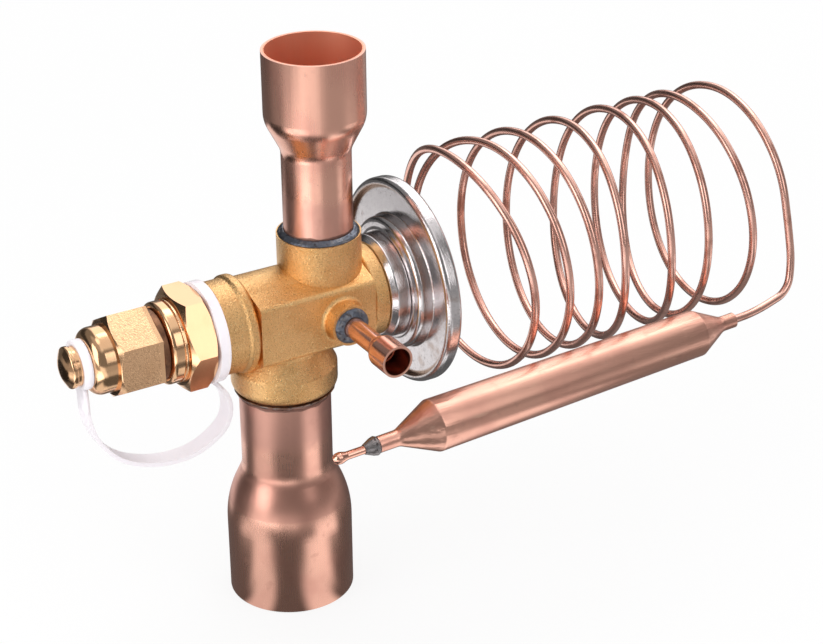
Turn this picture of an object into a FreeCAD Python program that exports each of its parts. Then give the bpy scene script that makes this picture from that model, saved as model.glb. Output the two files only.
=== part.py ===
import FreeCAD, Part
import math
import os

import Sketcher

# Thermostatic expansion valve with its wound capillary and its sensing bulb.
# The origin is the centre of the outlet socket's mouth. +Z runs up the outlet tube,
# +X runs along the valve axis from the seal cap to the power element, and the
# equaliser leaves towards -Y.

# Driving sizes in millimetres and degrees
SIZES = {
    # Where the axes lie
    "valve_axis_height": 75.0,
    "inlet_offset": 10.4,
    "inlet_rise": 63.2,
    # Inlet tube, swaged to a 22 mm solder socket
    "inlet_socket_bore": 22.2,
    "inlet_socket_length": 16.7,
    "inlet_taper_length": 7.2,
    "inlet_shoulder_radius": 7.5,
    "inlet_throat_radius": 5.0,
    "inlet_neck_od": 16.4,
    "inlet_wall": 0.8,
    # Outlet tube, swaged to a 28.6 mm solder socket
    "outlet_socket_bore": 28.7,
    "outlet_socket_length": 25.0,
    "outlet_taper_length": 9.05,
    "outlet_shoulder_radius": 26.0,
    "outlet_throat_radius": 8.0,
    "outlet_neck_od": 22.1,
    "outlet_wall": 0.95,
    # Equaliser tube, swaged to a 6.35 mm solder socket
    "equaliser_socket_bore": 6.45,
    "equaliser_socket_length": 6.6,
    "equaliser_taper_length": 2.2,
    "equaliser_shoulder_radius": 1.6,
    "equaliser_neck_od": 5.0,
    "equaliser_wall": 0.65,
    "equaliser_reach": 36.5,
    "equaliser_shift": 0.2,
    # Braze joints
    "tube_insertion": 6.0,
    "joint_gap": 0.05,
    "braze_height": 1.1,
    # Forging
    "receiver_reach": 19.2,
    "receiver_length": 5.1,
    "receiver_od": 22.4,
    "ridge_width": 3.2,
    "ridge_od": 23.6,
    "block_length": 30.1,
    "barrel_od": 21.6,
    "block_width": 22.4,
    "block_top": 7.4,
    "block_bottom": 8.6,
    "block_back": 20.8,
    "block_back_top": 5.6,
    "collar_length": 4.0,
    "collar_od": 23.0,
    "spigot_od": 19.0,
    "spigot_length": 3.6,
    "inlet_boss_od": 20.0,
    "inlet_boss_height": 18.2,
    "outlet_boss_od": 25.6,
    "outlet_boss_drop": 19.6,
    "skirt_drop": 13.2,
    "equaliser_boss_od": 10.0,
    "equaliser_boss_reach": 15.6,
    "boss_blend": 1.0,
    # Passages in the forging
    "cage_bore": 17.0,
    "seat_station": 1.0,
    "seat_bore": 14.0,
    "seat_thickness": 4.0,
    "orifice_bore": 6.8,
    "chamber_bore": 11.2,
    "chamber_length": 10.4,
    "inlet_passage_bore": 9.4,
    "outlet_passage_bore": 19.0,
    "outlet_port_bore": 10.8,
    "outlet_port_shift": 4.6,
    "passage_roof": 10.5,
    "sensing_bore": 2.0,
    "sensing_radius": 8.6,
    # Push rod and its seal
    "rod_diameter": 3.0,
    "rod_wall": 5.6,
    "seal_pocket_bore": 6.4,
    "seal_cord": 1.55,
    "running_gap": 0.05,
    "guide_gap": 0.1,
    # Adjusting housing
    "thread_gap": 0.05,
    "housing_spigot_length": 7.6,
    "housing_neck_od": 17.2,
    "housing_hex_flats": 22.0,
    "housing_hex_length": 6.7,
    "housing_collar_od": 19.6,
    "housing_collar_width": 3.8,
    "bead_width": 0.9,
    "nose_od": 14.4,
    "nose_length": 11.2,
    "guide_bore": 11.6,
    "guide_depth": 16.4,
    "key_flats": 10.3,
    "key_length": 8.0,
    "gland_bore": 9.2,
    "seal_ring_cord": 1.3,
    "seal_groove_width": 1.7,
    "seal_groove_station": 2.2,
    # Stem, packing and gland
    "stem_od": 4.0,
    "stem_thread_od": 4.8,
    "stem_collar_width": 1.5,
    "stem_thread_length": 9.0,
    "stem_tail_length": 7.6,
    "packing_width": 2.4,
    "gland_width": 2.8,
    # Spring set
    "spring_seat_width": 3.0,
    "spring_seat_setting": 2.2,
    "spring_hub_od": 6.2,
    "spring_hub_length": 1.5,
    "spring_od": 9.8,
    "spring_wire": 1.5,
    "spring_length": 13.0,
    "spring_turns": 4.5,
    "carrier_guide_length": 9.4,
    "carrier_head_od": 9.2,
    "carrier_head_length": 4.1,
    # Closing cone
    "cone_od": 9.2,
    "cone_tip_od": 3.2,
    "cone_stem_od": 4.0,
    "cone_stem_length": 3.6,
    "cone_gap": 0.08,
    # Seal cap and its gasket
    "cap_gasket_width": 2.1,
    "cap_gasket_od": 17.0,
    "cap_hex_flats": 18.0,
    "cap_hex_length": 10.5,
    "cap_shoulder_od": 15.8,
    "cap_shoulder_length": 5.3,
    "cap_neck_od": 9.4,
    "cap_neck_length": 3.2,
    "cap_knob_od": 9.9,
    "cap_knob_length": 2.4,
    "cap_knob_dome": 1.3,
    "cap_bore_depth": 13.6,
    "cap_bore_cone": 3.2,
    "cap_thread_gap": 0.1,
    # Tether strap
    "tether_ring_od": 24.2,
    "tether_ring_width": 2.5,
    "tether_small_od": 11.8,
    "tether_small_width": 2.0,
    "tether_gap": 0.06,
    "strap_width": 5.0,
    "strap_thickness": 1.0,
    "strap_drop": 25.1,
    # Power element
    "sheet": 1.2,
    "neck_od": 25.8,
    "neck_length": 4.7,
    "valley_depth": 1.0,
    "bulge_inner_od": 26.6,
    "bulge_od": 33.0,
    "bulge_rise": 3.6,
    "flat_station": 8.6,
    "rim_od": 50.8,
    "rim_lip_width": 1.8,
    "rim_lip_rise": 1.2,
    "shell_edge_gap": 0.25,
    "cup_od": 34.0,
    "cup_rise": 3.6,
    "port_boss_od": 8.4,
    "port_boss_rise": 2.0,
    "diaphragm_thickness": 0.2,
    "diaphragm_dish": 1.2,
    "plate_diameter": 18.4,
    "plate_thickness": 2.0,
    # Capillary coil
    "capillary_od": 2.0,
    "coil_radius": 29.0,
    "coil_stray": 1.0,
    "coil_pitch": 11.6,
    "coil_start": 46.0,
    "coil_rise": 1.1,
    "port_lead": 7.0,
    # Sensing bulb
    "bulb_od": 12.8,
    "bulb_far_od": 11.7,
    "bulb_length": 76.0,
    "bulb_start": 21.2,
    "bulb_aside": 33.4,
    "bulb_drop": 21.2,
    "bulb_tilt": 2.6,
    "bulb_cone_length": 9.6,
    "bulb_neck_od": 4.0,
    "bulb_neck_length": 5.2,
    "bulb_tail_length": 7.8,
    "bulb_sleeve_od": 3.8,
    "bulb_sleeve_length": 4.0,
    "bulb_braze_length": 3.6,
    "charging_tube_od": 2.0,
    "charging_tube_length": 4.6,
    "charging_bead_od": 2.9,
    "charging_bead_length": 3.6,
}

# The hand-wound capillary: each turn's pitch as a share of the mean pitch, and how many
# times coil_stray its front, its underside and its back lie off an even turn
TURN_PITCHES = (1.06, 0.91, 1.16, 1.21, 0.96, 0.69, 1.09, 0.2)
TURN_STRAYS = ((4.0, 1.5, -2.5), (2.0, 1.0, 1.0), (-1.0, 0.0, 2.5), (-7.0, -2.5, 4.0),
               (-6.5, 0.0, 5.0), (-5.5, -3.0, 6.0), (-0.5, 0.0, 2.5), (0.0, 0.0, 0.0))
FIRST_STRAY = 7.5
POINTS_PER_TURN = 12
COIL_FIRST_TURN = -0.25
COIL_LAST_TURN = 7.25


class Term:
    """A length together with the sheet expression that gives it."""

    def __init__(self, value, text):
        self.value = float(value)
        self.text = text

    @staticmethod
    def of(other):
        """Returns a number or a term as a term."""
        if isinstance(other, Term):
            return other
        return Term(other, f"{float(other):.6f}")

    def join(self, sign, other, value):
        """Returns the term of two terms joined by one arithmetic sign."""
        return Term(value, f"({self.text} {sign} {other.text})")

    def __add__(self, other):
        other = Term.of(other)
        return self.join("+", other, self.value + other.value)

    def __sub__(self, other):
        other = Term.of(other)
        return self.join("-", other, self.value - other.value)

    def __mul__(self, other):
        other = Term.of(other)
        return self.join("*", other, self.value * other.value)

    def __truediv__(self, other):
        other = Term.of(other)
        return self.join("/", other, self.value / other.value)

    def __neg__(self):
        return Term(-self.value, f"(-1 * {self.text})")

    __radd__ = __add__
    __rmul__ = __mul__

    def __rsub__(self, other):
        return Term.of(other) - self


class Sheet:
    """The driving sizes as a spreadsheet, read as terms."""

    def __init__(self, document, sizes):
        cells = document.addObject("Spreadsheet::Sheet", "Sizes")
        for row, (name, value) in enumerate(sizes.items(), start=1):
            cells.set(f"A{row}", name)
            cells.set(f"B{row}", str(value))
            cells.setAlias(f"B{row}", name)
        document.recompute()
        for name in sizes:
            setattr(self, name, Term(cells.get(name), f"Sizes.{name}"))


doc = FreeCAD.newDocument("ExpansionValve")
S = Sheet(doc, SIZES)
HALF = 0.5
ROOT3 = math.sqrt(3)

# Stations along the valve axis, from the outlet tube's axis
BODY_LEFT = -S.receiver_reach
RIDGE_LEFT = BODY_LEFT + S.receiver_length
BLOCK_LEFT = RIDGE_LEFT + S.ridge_width
BLOCK_RIGHT = BLOCK_LEFT + S.block_length
BODY_RIGHT = BLOCK_RIGHT + S.collar_length
SPIGOT_RIGHT = BODY_RIGHT + S.spigot_length
SEAT_LEFT = S.seat_station
SEAT_RIGHT = SEAT_LEFT + S.seat_thickness
CHAMBER_RIGHT = SEAT_RIGHT + S.chamber_length
SEAL_LEFT = CHAMBER_RIGHT + S.rod_wall
TETHER_SPACE = S.tether_ring_width + 2 * S.tether_gap
HEX_RIGHT = BODY_LEFT - TETHER_SPACE
COLLAR_RIGHT = HEX_RIGHT - S.housing_hex_length
NOSE_RIGHT = COLLAR_RIGHT - S.housing_collar_width
NOSE_LEFT = NOSE_RIGHT - S.nose_length
HOUSING_RIGHT = BODY_LEFT + S.housing_spigot_length
KEY_RIGHT = HOUSING_RIGHT - S.guide_depth
KEY_LEFT = KEY_RIGHT - S.key_length
NECK_LEFT = BODY_RIGHT + S.joint_gap
NECK_RIGHT = NECK_LEFT + S.neck_length
FLAT_LEFT = BODY_RIGHT + S.flat_station
FLANGE_RIGHT = FLAT_LEFT + S.sheet
DIAPHRAGM_LEFT = FLANGE_RIGHT + S.joint_gap
UPPER_LEFT = DIAPHRAGM_LEFT + S.diaphragm_thickness + S.joint_gap
UPPER_RIGHT = UPPER_LEFT + S.sheet
CUP_RIGHT = UPPER_RIGHT + S.cup_rise
PORT_RIGHT = CUP_RIGHT + S.port_boss_rise
EQUALISER_STATION = S.inlet_offset - S.equaliser_shift
CARRIER_LEFT = KEY_LEFT + S.spring_seat_setting + S.spring_seat_width + S.spring_length


def round_corner(previous, corner, following, radius):
    """Returns the tangent points, centre and turn of a rounded corner."""
    ax, ay = corner[0] - previous[0], corner[1] - previous[1]
    bx, by = following[0] - corner[0], following[1] - corner[1]
    la, lb = math.hypot(ax, ay), math.hypot(bx, by)
    ax, ay, bx, by = ax / la, ay / la, bx / lb, by / lb
    turn = math.atan2(ax * by - ay * bx, ax * bx + ay * by)
    back = radius * math.tan(abs(turn) / 2)
    start = (corner[0] - ax * back, corner[1] - ay * back)
    end = (corner[0] + bx * back, corner[1] + by * back)
    side = math.copysign(radius, turn)
    centre = (start[0] - ay * side, start[1] + ax * side)
    return start, end, centre, turn


def pin_point(sketch, geometry, position, x, y):
    """Ties a sketch point to the sketch's origin by two bound distances."""
    for kind, term, axis in (("DistanceX", x, -2), ("DistanceY", y, -1)):
        term = Term.of(term)
        if term.value == 0:
            sketch.addConstraint(Sketcher.Constraint("PointOnObject", geometry, position, axis))
            continue
        made = sketch.addConstraint(
            Sketcher.Constraint(kind, -1, 1, geometry, position, term.value))
        sketch.setExpression(f"Constraints[{made}]", term.text)


def outline(sketch, corners):
    """Draws a closed outline of corners (x, y) or (x, y, radius)."""
    count = len(corners)
    flat = [(Term.of(c[0]).value, Term.of(c[1]).value) for c in corners]
    rounds = {}
    for i, corner in enumerate(corners):
        if len(corner) == 3:
            radius = Term.of(corner[2])
            rounds[i] = (radius, round_corner(
                flat[i - 1], flat[i], flat[(i + 1) % count], radius.value))
    lines = []
    for i in range(count):
        following = (i + 1) % count
        start = rounds[i][1][1] if i in rounds else flat[i]
        end = rounds[following][1][0] if following in rounds else flat[following]
        lines.append(sketch.addGeometry(Part.LineSegment(
            FreeCAD.Vector(*start, 0), FreeCAD.Vector(*end, 0)), False))
    for i, corner in enumerate(corners):
        before, after = lines[i - 1], lines[i]
        if i not in rounds:
            sketch.addConstraint(Sketcher.Constraint("Coincident", before, 2, after, 1))
            pin_point(sketch, after, 1, corner[0], corner[1])
            continue
        radius, (start, end, centre, turn) = rounds[i]
        first, last = (start, end) if turn > 0 else (end, start)
        angles = [math.atan2(p[1] - centre[1], p[0] - centre[0]) for p in (first, last)]
        if angles[1] < angles[0]:
            angles[1] += 2 * math.pi
        circle = Part.Circle(FreeCAD.Vector(*centre, 0), FreeCAD.Vector(0, 0, 1), radius.value)
        arc = sketch.addGeometry(Part.ArcOfCircle(circle, angles[0], angles[1]), False)
        arc_in, arc_out = (1, 2) if turn > 0 else (2, 1)
        apex = sketch.addGeometry(Part.Point(FreeCAD.Vector(*flat[i], 0)), True)
        pin_point(sketch, apex, 1, corner[0], corner[1])
        sketch.addConstraint(Sketcher.Constraint("Tangent", before, 2, arc, arc_in))
        sketch.addConstraint(Sketcher.Constraint("Tangent", arc, arc_out, after, 1))
        sketch.addConstraint(Sketcher.Constraint("PointOnObject", apex, 1, before))
        sketch.addConstraint(Sketcher.Constraint("PointOnObject", apex, 1, after))
        made = sketch.addConstraint(Sketcher.Constraint("Radius", arc, radius.value))
        sketch.setExpression(f"Constraints[{made}]", radius.text)


def disc(sketch, x, y, diameter):
    """Draws a bound circle."""
    x, y, radius = Term.of(x), Term.of(y), Term.of(diameter) * HALF
    circle = sketch.addGeometry(Part.Circle(
        FreeCAD.Vector(x.value, y.value, 0), FreeCAD.Vector(0, 0, 1), radius.value), False)
    pin_point(sketch, circle, 3, x, y)
    made = sketch.addConstraint(Sketcher.Constraint("Radius", circle, radius.value))
    sketch.setExpression(f"Constraints[{made}]", radius.text)


def new_body(label, x=0, y=0, z=None):
    """Makes a body whose own origin lies at the given place."""
    body = doc.addObject("PartDesign::Body", label.title().replace("_", ""))
    body.Label = label
    for axis, term in zip("xyz", (x, y, S.valve_axis_height if z is None else z)):
        body.setExpression(f"Placement.Base.{axis}", Term.of(term).text)
    return body


def new_sketch(body, plane, name, offset=None):
    """Makes a sketch on one of the body's origin planes, set off along its normal."""
    sketch = body.newObject("Sketcher::SketchObject", name)
    planes = {item.Role: item for item in body.Origin.OriginFeatures}
    sketch.AttachmentSupport = [(planes[plane], "")]
    sketch.MapMode = "FlatFace"
    if offset is not None:
        sketch.setExpression("AttachmentOffset.Base.z", Term.of(offset).text)
    return sketch


def turned(body, name, corners, axis="H_Axis", kind="Revolution"):
    """Turns an outline in the XZ plane about the sketch's axis, or cuts it out."""
    sketch = new_sketch(body, "XZ_Plane", name + "Outline")
    outline(sketch, corners)
    made = body.newObject(f"PartDesign::{kind}", name)
    made.Profile = sketch
    made.ReferenceAxis = (sketch, [axis])
    made.Angle = 360
    doc.recompute()
    return made


def raised(body, name, plane, draw, length, offset=None, kind="Pad", reverse=False):
    """Pads or pockets what draw puts on a plane, along the plane's normal."""
    sketch = new_sketch(body, plane, name + "Outline", offset)
    draw(sketch)
    made = body.newObject(f"PartDesign::{kind}", name)
    made.Profile = sketch
    made.setExpression("Length", Term.of(length).text)
    made.Reversed = reverse
    doc.recompute()
    return made


def rounded(body, name, radius, pick):
    """Rounds the body's edges that pick chooses."""
    base = body.Tip
    names = [f"Edge{i}" for i, edge in enumerate(base.Shape.Edges, start=1) if pick(edge)]
    made = body.newObject("PartDesign::Fillet", name)
    made.Base = (base, names)
    made.setExpression("Radius", Term.of(radius).text)
    doc.recompute()
    return made


def hexagon(flats, corner_up):
    """Returns a drawing of a hexagon of a given width across its flats."""
    half, side = flats * HALF, flats / (2 * ROOT3)
    corners = [(side * 2, 0), (side, half), (-side, half),
               (-side * 2, 0), (-side, -half), (side, -half)]
    if corner_up:
        corners = [(y, x) for x, y in corners]
    return lambda sketch: outline(sketch, corners)


def chamfer_ring(body, name, face, flats, inward):
    """Turns the corners of a hexagon off towards the face at the given station."""
    bevel = 0.62
    inner, outer = flats * 0.49, flats * 0.62
    depth = (outer - inner) * (bevel * inward)
    turned(body, name, [(face, inner), (face + depth, outer), (face - inward * 0.5, outer),
                        (face - inward * 0.5, inner)], kind="Groove")


# Forging: barrel, ridge, block, collar and three bosses, with the passages bored in it
def valve_body():
    body = new_body("valve_body")
    receiver, ridge = S.receiver_od * HALF, S.ridge_od * HALF
    barrel, collar = S.barrel_od * HALF, S.collar_od * HALF
    spigot, edge = S.spigot_od * HALF, 0.7
    turned(body, "Barrel", [
        (BODY_LEFT, 0), (BODY_LEFT, receiver, edge), (RIDGE_LEFT, receiver, edge),
        (RIDGE_LEFT + 0.8, ridge, edge), (BLOCK_LEFT - 0.8, ridge, edge), (BLOCK_LEFT, barrel),
        (BLOCK_RIGHT, barrel), (BLOCK_RIGHT + 0.3, collar, edge), (BODY_RIGHT, collar, 0.4),
        (BODY_RIGHT, spigot), (SPIGOT_RIGHT, spigot), (SPIGOT_RIGHT, 0)])
    half, low = S.block_width * HALF, -S.block_bottom
    slope = barrel * 0.86
    crown = barrel * 0.5
    foot = barrel * 0.75
    back, back_top = S.block_back * HALF, S.block_back_top
    raised(body, "Block", "YZ_Plane", lambda sketch: outline(sketch, [
        (-half, S.block_top, 1.3), (-crown, slope, 3.0), (crown, slope, 3.0),
        (back, back_top, 1.3), (back, low, 1.5), (foot, -barrel * 0.66),
        (-foot, -barrel * 0.66), (-half, low, 1.5)]), S.block_length, BLOCK_LEFT)
    skirt, boss = -S.skirt_drop, S.outlet_boss_od * HALF
    mouth = S.outlet_neck_od * HALF + 0.5
    turned(body, "OutletBoss", [
        (0, 0), (boss - 2.4, 0), (boss - 2.4, skirt + 4.6), (boss, skirt, 1.2),
        (boss, -S.outlet_boss_drop, 2.4), (mouth * HALF, -S.outlet_boss_drop),
        (0, -S.outlet_boss_drop)], axis="V_Axis")
    raised(body, "InletBoss", "XY_Plane", lambda sketch: disc(
        sketch, S.inlet_offset, 0, S.inlet_boss_od), S.inlet_boss_height)
    raised(body, "EqualiserBoss", "XZ_Plane", lambda sketch: disc(
        sketch, EQUALISER_STATION, 0, S.equaliser_boss_od), S.equaliser_boss_reach)
    rounded(body, "EqualiserBlend", S.boss_blend, lambda edge: (
        isinstance(edge.Curve, Part.Circle) and abs(edge.Curve.Center.y + half.value) < 0.01
        and abs(edge.Curve.Radius - S.equaliser_boss_od.value / 2) < 0.01))
    bore_passages(body)
    return body


def bore_passages(body):
    """Bores the main axis, the tube sockets and the passages between them."""
    cage, seat = S.cage_bore * HALF, S.seat_bore * HALF
    chamber, rod = S.chamber_bore * HALF, S.rod_diameter * HALF + S.running_gap
    pocket, past = S.seal_pocket_bore * HALF, 1.0
    turned(body, "MainBore", [
        (BODY_LEFT - past, 0), (BODY_LEFT - past, cage), (SEAT_LEFT, cage), (SEAT_LEFT, seat),
        (SEAT_RIGHT, seat), (SEAT_RIGHT, chamber), (CHAMBER_RIGHT, chamber),
        (CHAMBER_RIGHT, rod), (SEAL_LEFT, rod), (SEAL_LEFT, pocket),
        (SPIGOT_RIGHT + past, pocket), (SPIGOT_RIGHT + past, 0)], kind="Groove")
    raised(body, "InletSocket", "XY_Plane", lambda sketch: disc(
        sketch, S.inlet_offset, 0, S.inlet_neck_od + 2 * S.joint_gap),
        S.tube_insertion, S.inlet_boss_height, "Pocket")
    raised(body, "InletPassage", "XY_Plane", lambda sketch: disc(
        sketch, S.inlet_offset, 0, S.inlet_passage_bore), S.inlet_boss_height,
        S.inlet_boss_height, "Pocket")
    raised(body, "OutletSocket", "XY_Plane", lambda sketch: disc(
        sketch, 0, 0, S.outlet_neck_od + 2 * S.joint_gap),
        S.tube_insertion, -S.outlet_boss_drop, "Pocket", True)
    raised(body, "OutletPassage", "XY_Plane", lambda sketch: disc(
        sketch, 0, 0, S.outlet_passage_bore), S.outlet_boss_drop - S.passage_roof,
        -S.outlet_boss_drop, "Pocket", True)
    raised(body, "OutletPort", "XY_Plane", lambda sketch: disc(
        sketch, -S.outlet_port_shift, 0, S.outlet_port_bore), S.passage_roof + 0.5,
        None, "Pocket")
    raised(body, "EqualiserSocket", "XZ_Plane", lambda sketch: disc(
        sketch, EQUALISER_STATION, 0, S.equaliser_neck_od + 2 * S.joint_gap),
        S.tube_insertion - 1.0, S.equaliser_boss_reach, "Pocket")
    raised(body, "EqualiserPassage", "XZ_Plane", lambda sketch: disc(
        sketch, EQUALISER_STATION, 0, S.equaliser_neck_od - 2 * S.equaliser_wall),
        S.equaliser_boss_reach - S.sensing_radius + S.sensing_bore * HALF,
        S.equaliser_boss_reach, "Pocket")
    raised(body, "SensingPassage", "YZ_Plane", lambda sketch: disc(
        sketch, -S.sensing_radius, 0, S.sensing_bore), SPIGOT_RIGHT - EQUALISER_STATION,
        SPIGOT_RIGHT, "Pocket")


def swaged_tube(label, place, neck, wall, socket, socket_length, taper, rounds, length):
    """Turns a tube with a swaged socket, its mouth at the local origin, upwards along Z."""
    body = new_body(label, *place)
    mouth_od, neck_od = socket * HALF + wall, neck * HALF
    shoulder, throat = socket_length, socket_length + taper
    outer, inner = rounds
    turned(body, "Wall", [
        (socket * HALF, 0), (socket * HALF, shoulder, outer - wall),
        (neck_od - wall, throat, inner + wall), (neck_od - wall, length),
        (neck_od, length), (neck_od, throat, inner),
        (mouth_od, shoulder, outer), (mouth_od, 0)], axis="V_Axis")
    return body


def inlet_tube():
    body = swaged_tube(
        "inlet_tube", (S.inlet_offset, 0, S.valve_axis_height + S.inlet_rise),
        S.inlet_neck_od, S.inlet_wall, S.inlet_socket_bore, S.inlet_socket_length,
        S.inlet_taper_length, (S.inlet_shoulder_radius, S.inlet_throat_radius),
        S.inlet_rise - S.inlet_boss_height + S.tube_insertion - S.joint_gap)
    body.Placement.Rotation = FreeCAD.Rotation(FreeCAD.Vector(1, 0, 0), 180)
    return body


def outlet_tube():
    return swaged_tube(
        "outlet_tube", (0, 0, 0), S.outlet_neck_od, S.outlet_wall, S.outlet_socket_bore,
        S.outlet_socket_length, S.outlet_taper_length,
        (S.outlet_shoulder_radius, S.outlet_throat_radius),
        S.valve_axis_height - S.outlet_boss_drop + S.tube_insertion - S.joint_gap)


def equaliser_tube():
    body = swaged_tube(
        "equaliser_tube", (EQUALISER_STATION, -S.equaliser_reach, S.valve_axis_height),
        S.equaliser_neck_od, S.equaliser_wall, S.equaliser_socket_bore,
        S.equaliser_socket_length, S.equaliser_taper_length,
        (S.equaliser_shoulder_radius, S.equaliser_shoulder_radius),
        S.equaliser_reach - S.equaliser_boss_reach + S.tube_insertion - 1.0 - S.joint_gap)
    body.Placement.Rotation = FreeCAD.Rotation(FreeCAD.Vector(1, 0, 0), -90)
    return body


def braze_ring(label, place, tube_od, spread, turn):
    """Turns a concave filler ring that stands on a boss round a tube."""
    body = new_body(label, *place)
    inner, foot = tube_od * HALF + S.joint_gap, tube_od * HALF + spread
    turned(body, "Fillet", [
        (inner, S.joint_gap), (foot, S.joint_gap), (foot - spread * 0.25, S.braze_height * 0.45),
        (inner + 0.25, S.braze_height), (inner, S.braze_height)], axis="V_Axis")
    body.Placement.Rotation = turn
    return body


def braze_rings():
    up = FreeCAD.Rotation()
    over = FreeCAD.Rotation(FreeCAD.Vector(1, 0, 0), 180)
    front = FreeCAD.Rotation(FreeCAD.Vector(1, 0, 0), 90)
    height = S.valve_axis_height
    inlet = braze_ring("inlet_braze_ring", (S.inlet_offset, 0, height + S.inlet_boss_height),
                       S.inlet_neck_od, 1.5, up)
    outlet = braze_ring("outlet_braze_ring", (0, 0, height - S.outlet_boss_drop),
                        S.outlet_neck_od, 1.1, over)
    side = braze_ring("equaliser_braze_ring",
                      (EQUALISER_STATION, -S.equaliser_boss_reach, height),
                      S.equaliser_neck_od, 1.9, front)
    return [inlet, outlet, side]


# Adjusting housing: spigot, neck for the tether, hexagon, beaded collar and threaded nose
def adjusting_housing():
    body = new_body("adjusting_housing")
    spigot = S.cage_bore * HALF - S.thread_gap
    neck, collar = S.housing_neck_od * HALF, S.housing_collar_od * HALF
    nose = S.nose_od * HALF
    groove = S.cage_bore * HALF - S.running_gap - S.seal_ring_cord
    groove_left = BODY_LEFT + S.seal_groove_station
    groove_right = groove_left + S.seal_groove_width
    bead, corner = COLLAR_RIGHT - S.bead_width, S.housing_hex_flats * HALF
    turned(body, "Turning", [
        (HOUSING_RIGHT, 0), (HOUSING_RIGHT, spigot - 0.5), (HOUSING_RIGHT - 0.5, spigot),
        (groove_right, spigot), (groove_right, groove), (groove_left, groove),
        (groove_left, spigot), (BODY_LEFT, spigot), (BODY_LEFT, neck), (HEX_RIGHT, neck),
        (HEX_RIGHT, corner * 0.8), (COLLAR_RIGHT, corner * 0.8), (COLLAR_RIGHT, collar + 0.2, 0.2),
        (bead, collar + 0.2, 0.2), (bead, collar - 0.25), (bead - 0.35, collar - 0.25),
        (bead - 0.35, collar), (NOSE_RIGHT, collar, 0.9), (NOSE_RIGHT, nose),
        (NOSE_LEFT + 0.7, nose), (NOSE_LEFT, nose - 0.7), (NOSE_LEFT, 0)])
    raised(body, "Hexagon", "YZ_Plane", hexagon(S.housing_hex_flats, False),
           S.housing_hex_length, COLLAR_RIGHT)
    chamfer_ring(body, "FrontChamfer", COLLAR_RIGHT, S.housing_hex_flats, 1)
    chamfer_ring(body, "BackChamfer", HEX_RIGHT, S.housing_hex_flats, -1)
    past = 1.0
    turned(body, "Bore", [
        (HOUSING_RIGHT + past, 0), (HOUSING_RIGHT + past, S.guide_bore * HALF),
        (KEY_RIGHT, S.guide_bore * HALF), (KEY_RIGHT, S.gland_bore * HALF),
        (NOSE_LEFT - past, S.gland_bore * HALF), (NOSE_LEFT - past, 0)], kind="Groove")
    raised(body, "KeyPocket", "YZ_Plane", hexagon(S.key_flats, True),
           S.key_length, KEY_RIGHT, "Pocket")
    return body


def housing_o_ring():
    body = new_body("housing_o_ring",
                    BODY_LEFT + S.seal_groove_station + S.seal_groove_width * HALF)
    cord = S.seal_ring_cord * HALF
    outer = S.cage_bore * HALF - S.running_gap * HALF
    ring(body, outer - cord, S.seal_ring_cord)
    return body


def ring(body, radius, cord):
    """Turns a round ring about the local X axis."""
    sketch = new_sketch(body, "XZ_Plane", "Cord")
    disc(sketch, 0, radius, cord)
    made = body.newObject("PartDesign::Revolution", "Ring")
    made.Profile = sketch
    made.ReferenceAxis = (sketch, ["H_Axis"])
    made.Angle = 360
    doc.recompute()


def adjusting_stem():
    body = new_body("adjusting_stem", KEY_LEFT - S.joint_gap)
    thread, tail = S.stem_thread_od * HALF, S.stem_od * HALF
    collar = S.gland_bore * HALF - S.guide_gap
    width, length = S.stem_collar_width, S.stem_thread_length
    end = -(width + S.stem_tail_length)
    turned(body, "Turning", [
        (length, 0), (length, thread - 0.4), (length - 0.4, thread), (0, thread), (0, collar),
        (-width, collar), (-width, tail), (end + 0.4, tail), (end, tail - 0.4), (end, 0)])
    slot, depth = 0.45, 1.5
    raised(body, "Slot", "YZ_Plane", lambda sketch: outline(sketch, [
        (-slot, -S.stem_od), (slot, -S.stem_od), (slot, S.stem_od), (-slot, S.stem_od)]),
        depth, end, "Pocket", True)
    return body


def tubular(label, station, length, bore, od, chamfer=0.3):
    """Turns a plain bush from the station towards +X."""
    body = new_body(label, station)
    inner, outer = bore * HALF, od * HALF
    turned(body, "Bush", [
        (0, inner), (length, inner), (length, outer - chamfer), (length - chamfer, outer),
        (chamfer, outer), (0, outer - chamfer)])
    return body


def stem_seals():
    bore = S.stem_od + 2 * S.running_gap
    od = S.gland_bore - 2 * S.running_gap
    packing_right = KEY_LEFT - 2 * S.joint_gap - S.stem_collar_width
    packing_left = packing_right - S.packing_width
    gland_left = packing_left - S.joint_gap - S.gland_width
    packing = tubular("stem_packing", packing_left, S.packing_width, bore, od, 0.1)
    gland = tubular("packing_gland", gland_left, S.gland_width, bore, od)
    flat = 0.5
    raised(gland, "KeySlot", "YZ_Plane", lambda sketch: outline(sketch, [
        (-flat, -S.gland_bore), (flat, -S.gland_bore), (flat, S.gland_bore),
        (-flat, S.gland_bore)]), 0.9, None, "Pocket", True)
    return [packing, gland]


def spring_seat():
    body = new_body("spring_seat", KEY_LEFT + S.spring_seat_setting)
    across = S.key_flats - 2 * S.guide_gap
    raised(body, "Hexagon", "YZ_Plane", hexagon(across, True), S.spring_seat_width)
    hub_right = S.spring_seat_width + S.spring_hub_length
    raised(body, "Hub", "YZ_Plane", lambda sketch: disc(sketch, 0, 0, S.spring_hub_od),
           hub_right)
    raised(body, "Thread", "YZ_Plane", lambda sketch: disc(
        sketch, 0, 0, S.stem_thread_od + 2 * S.thread_gap), hub_right, hub_right, "Pocket")
    return body


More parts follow.
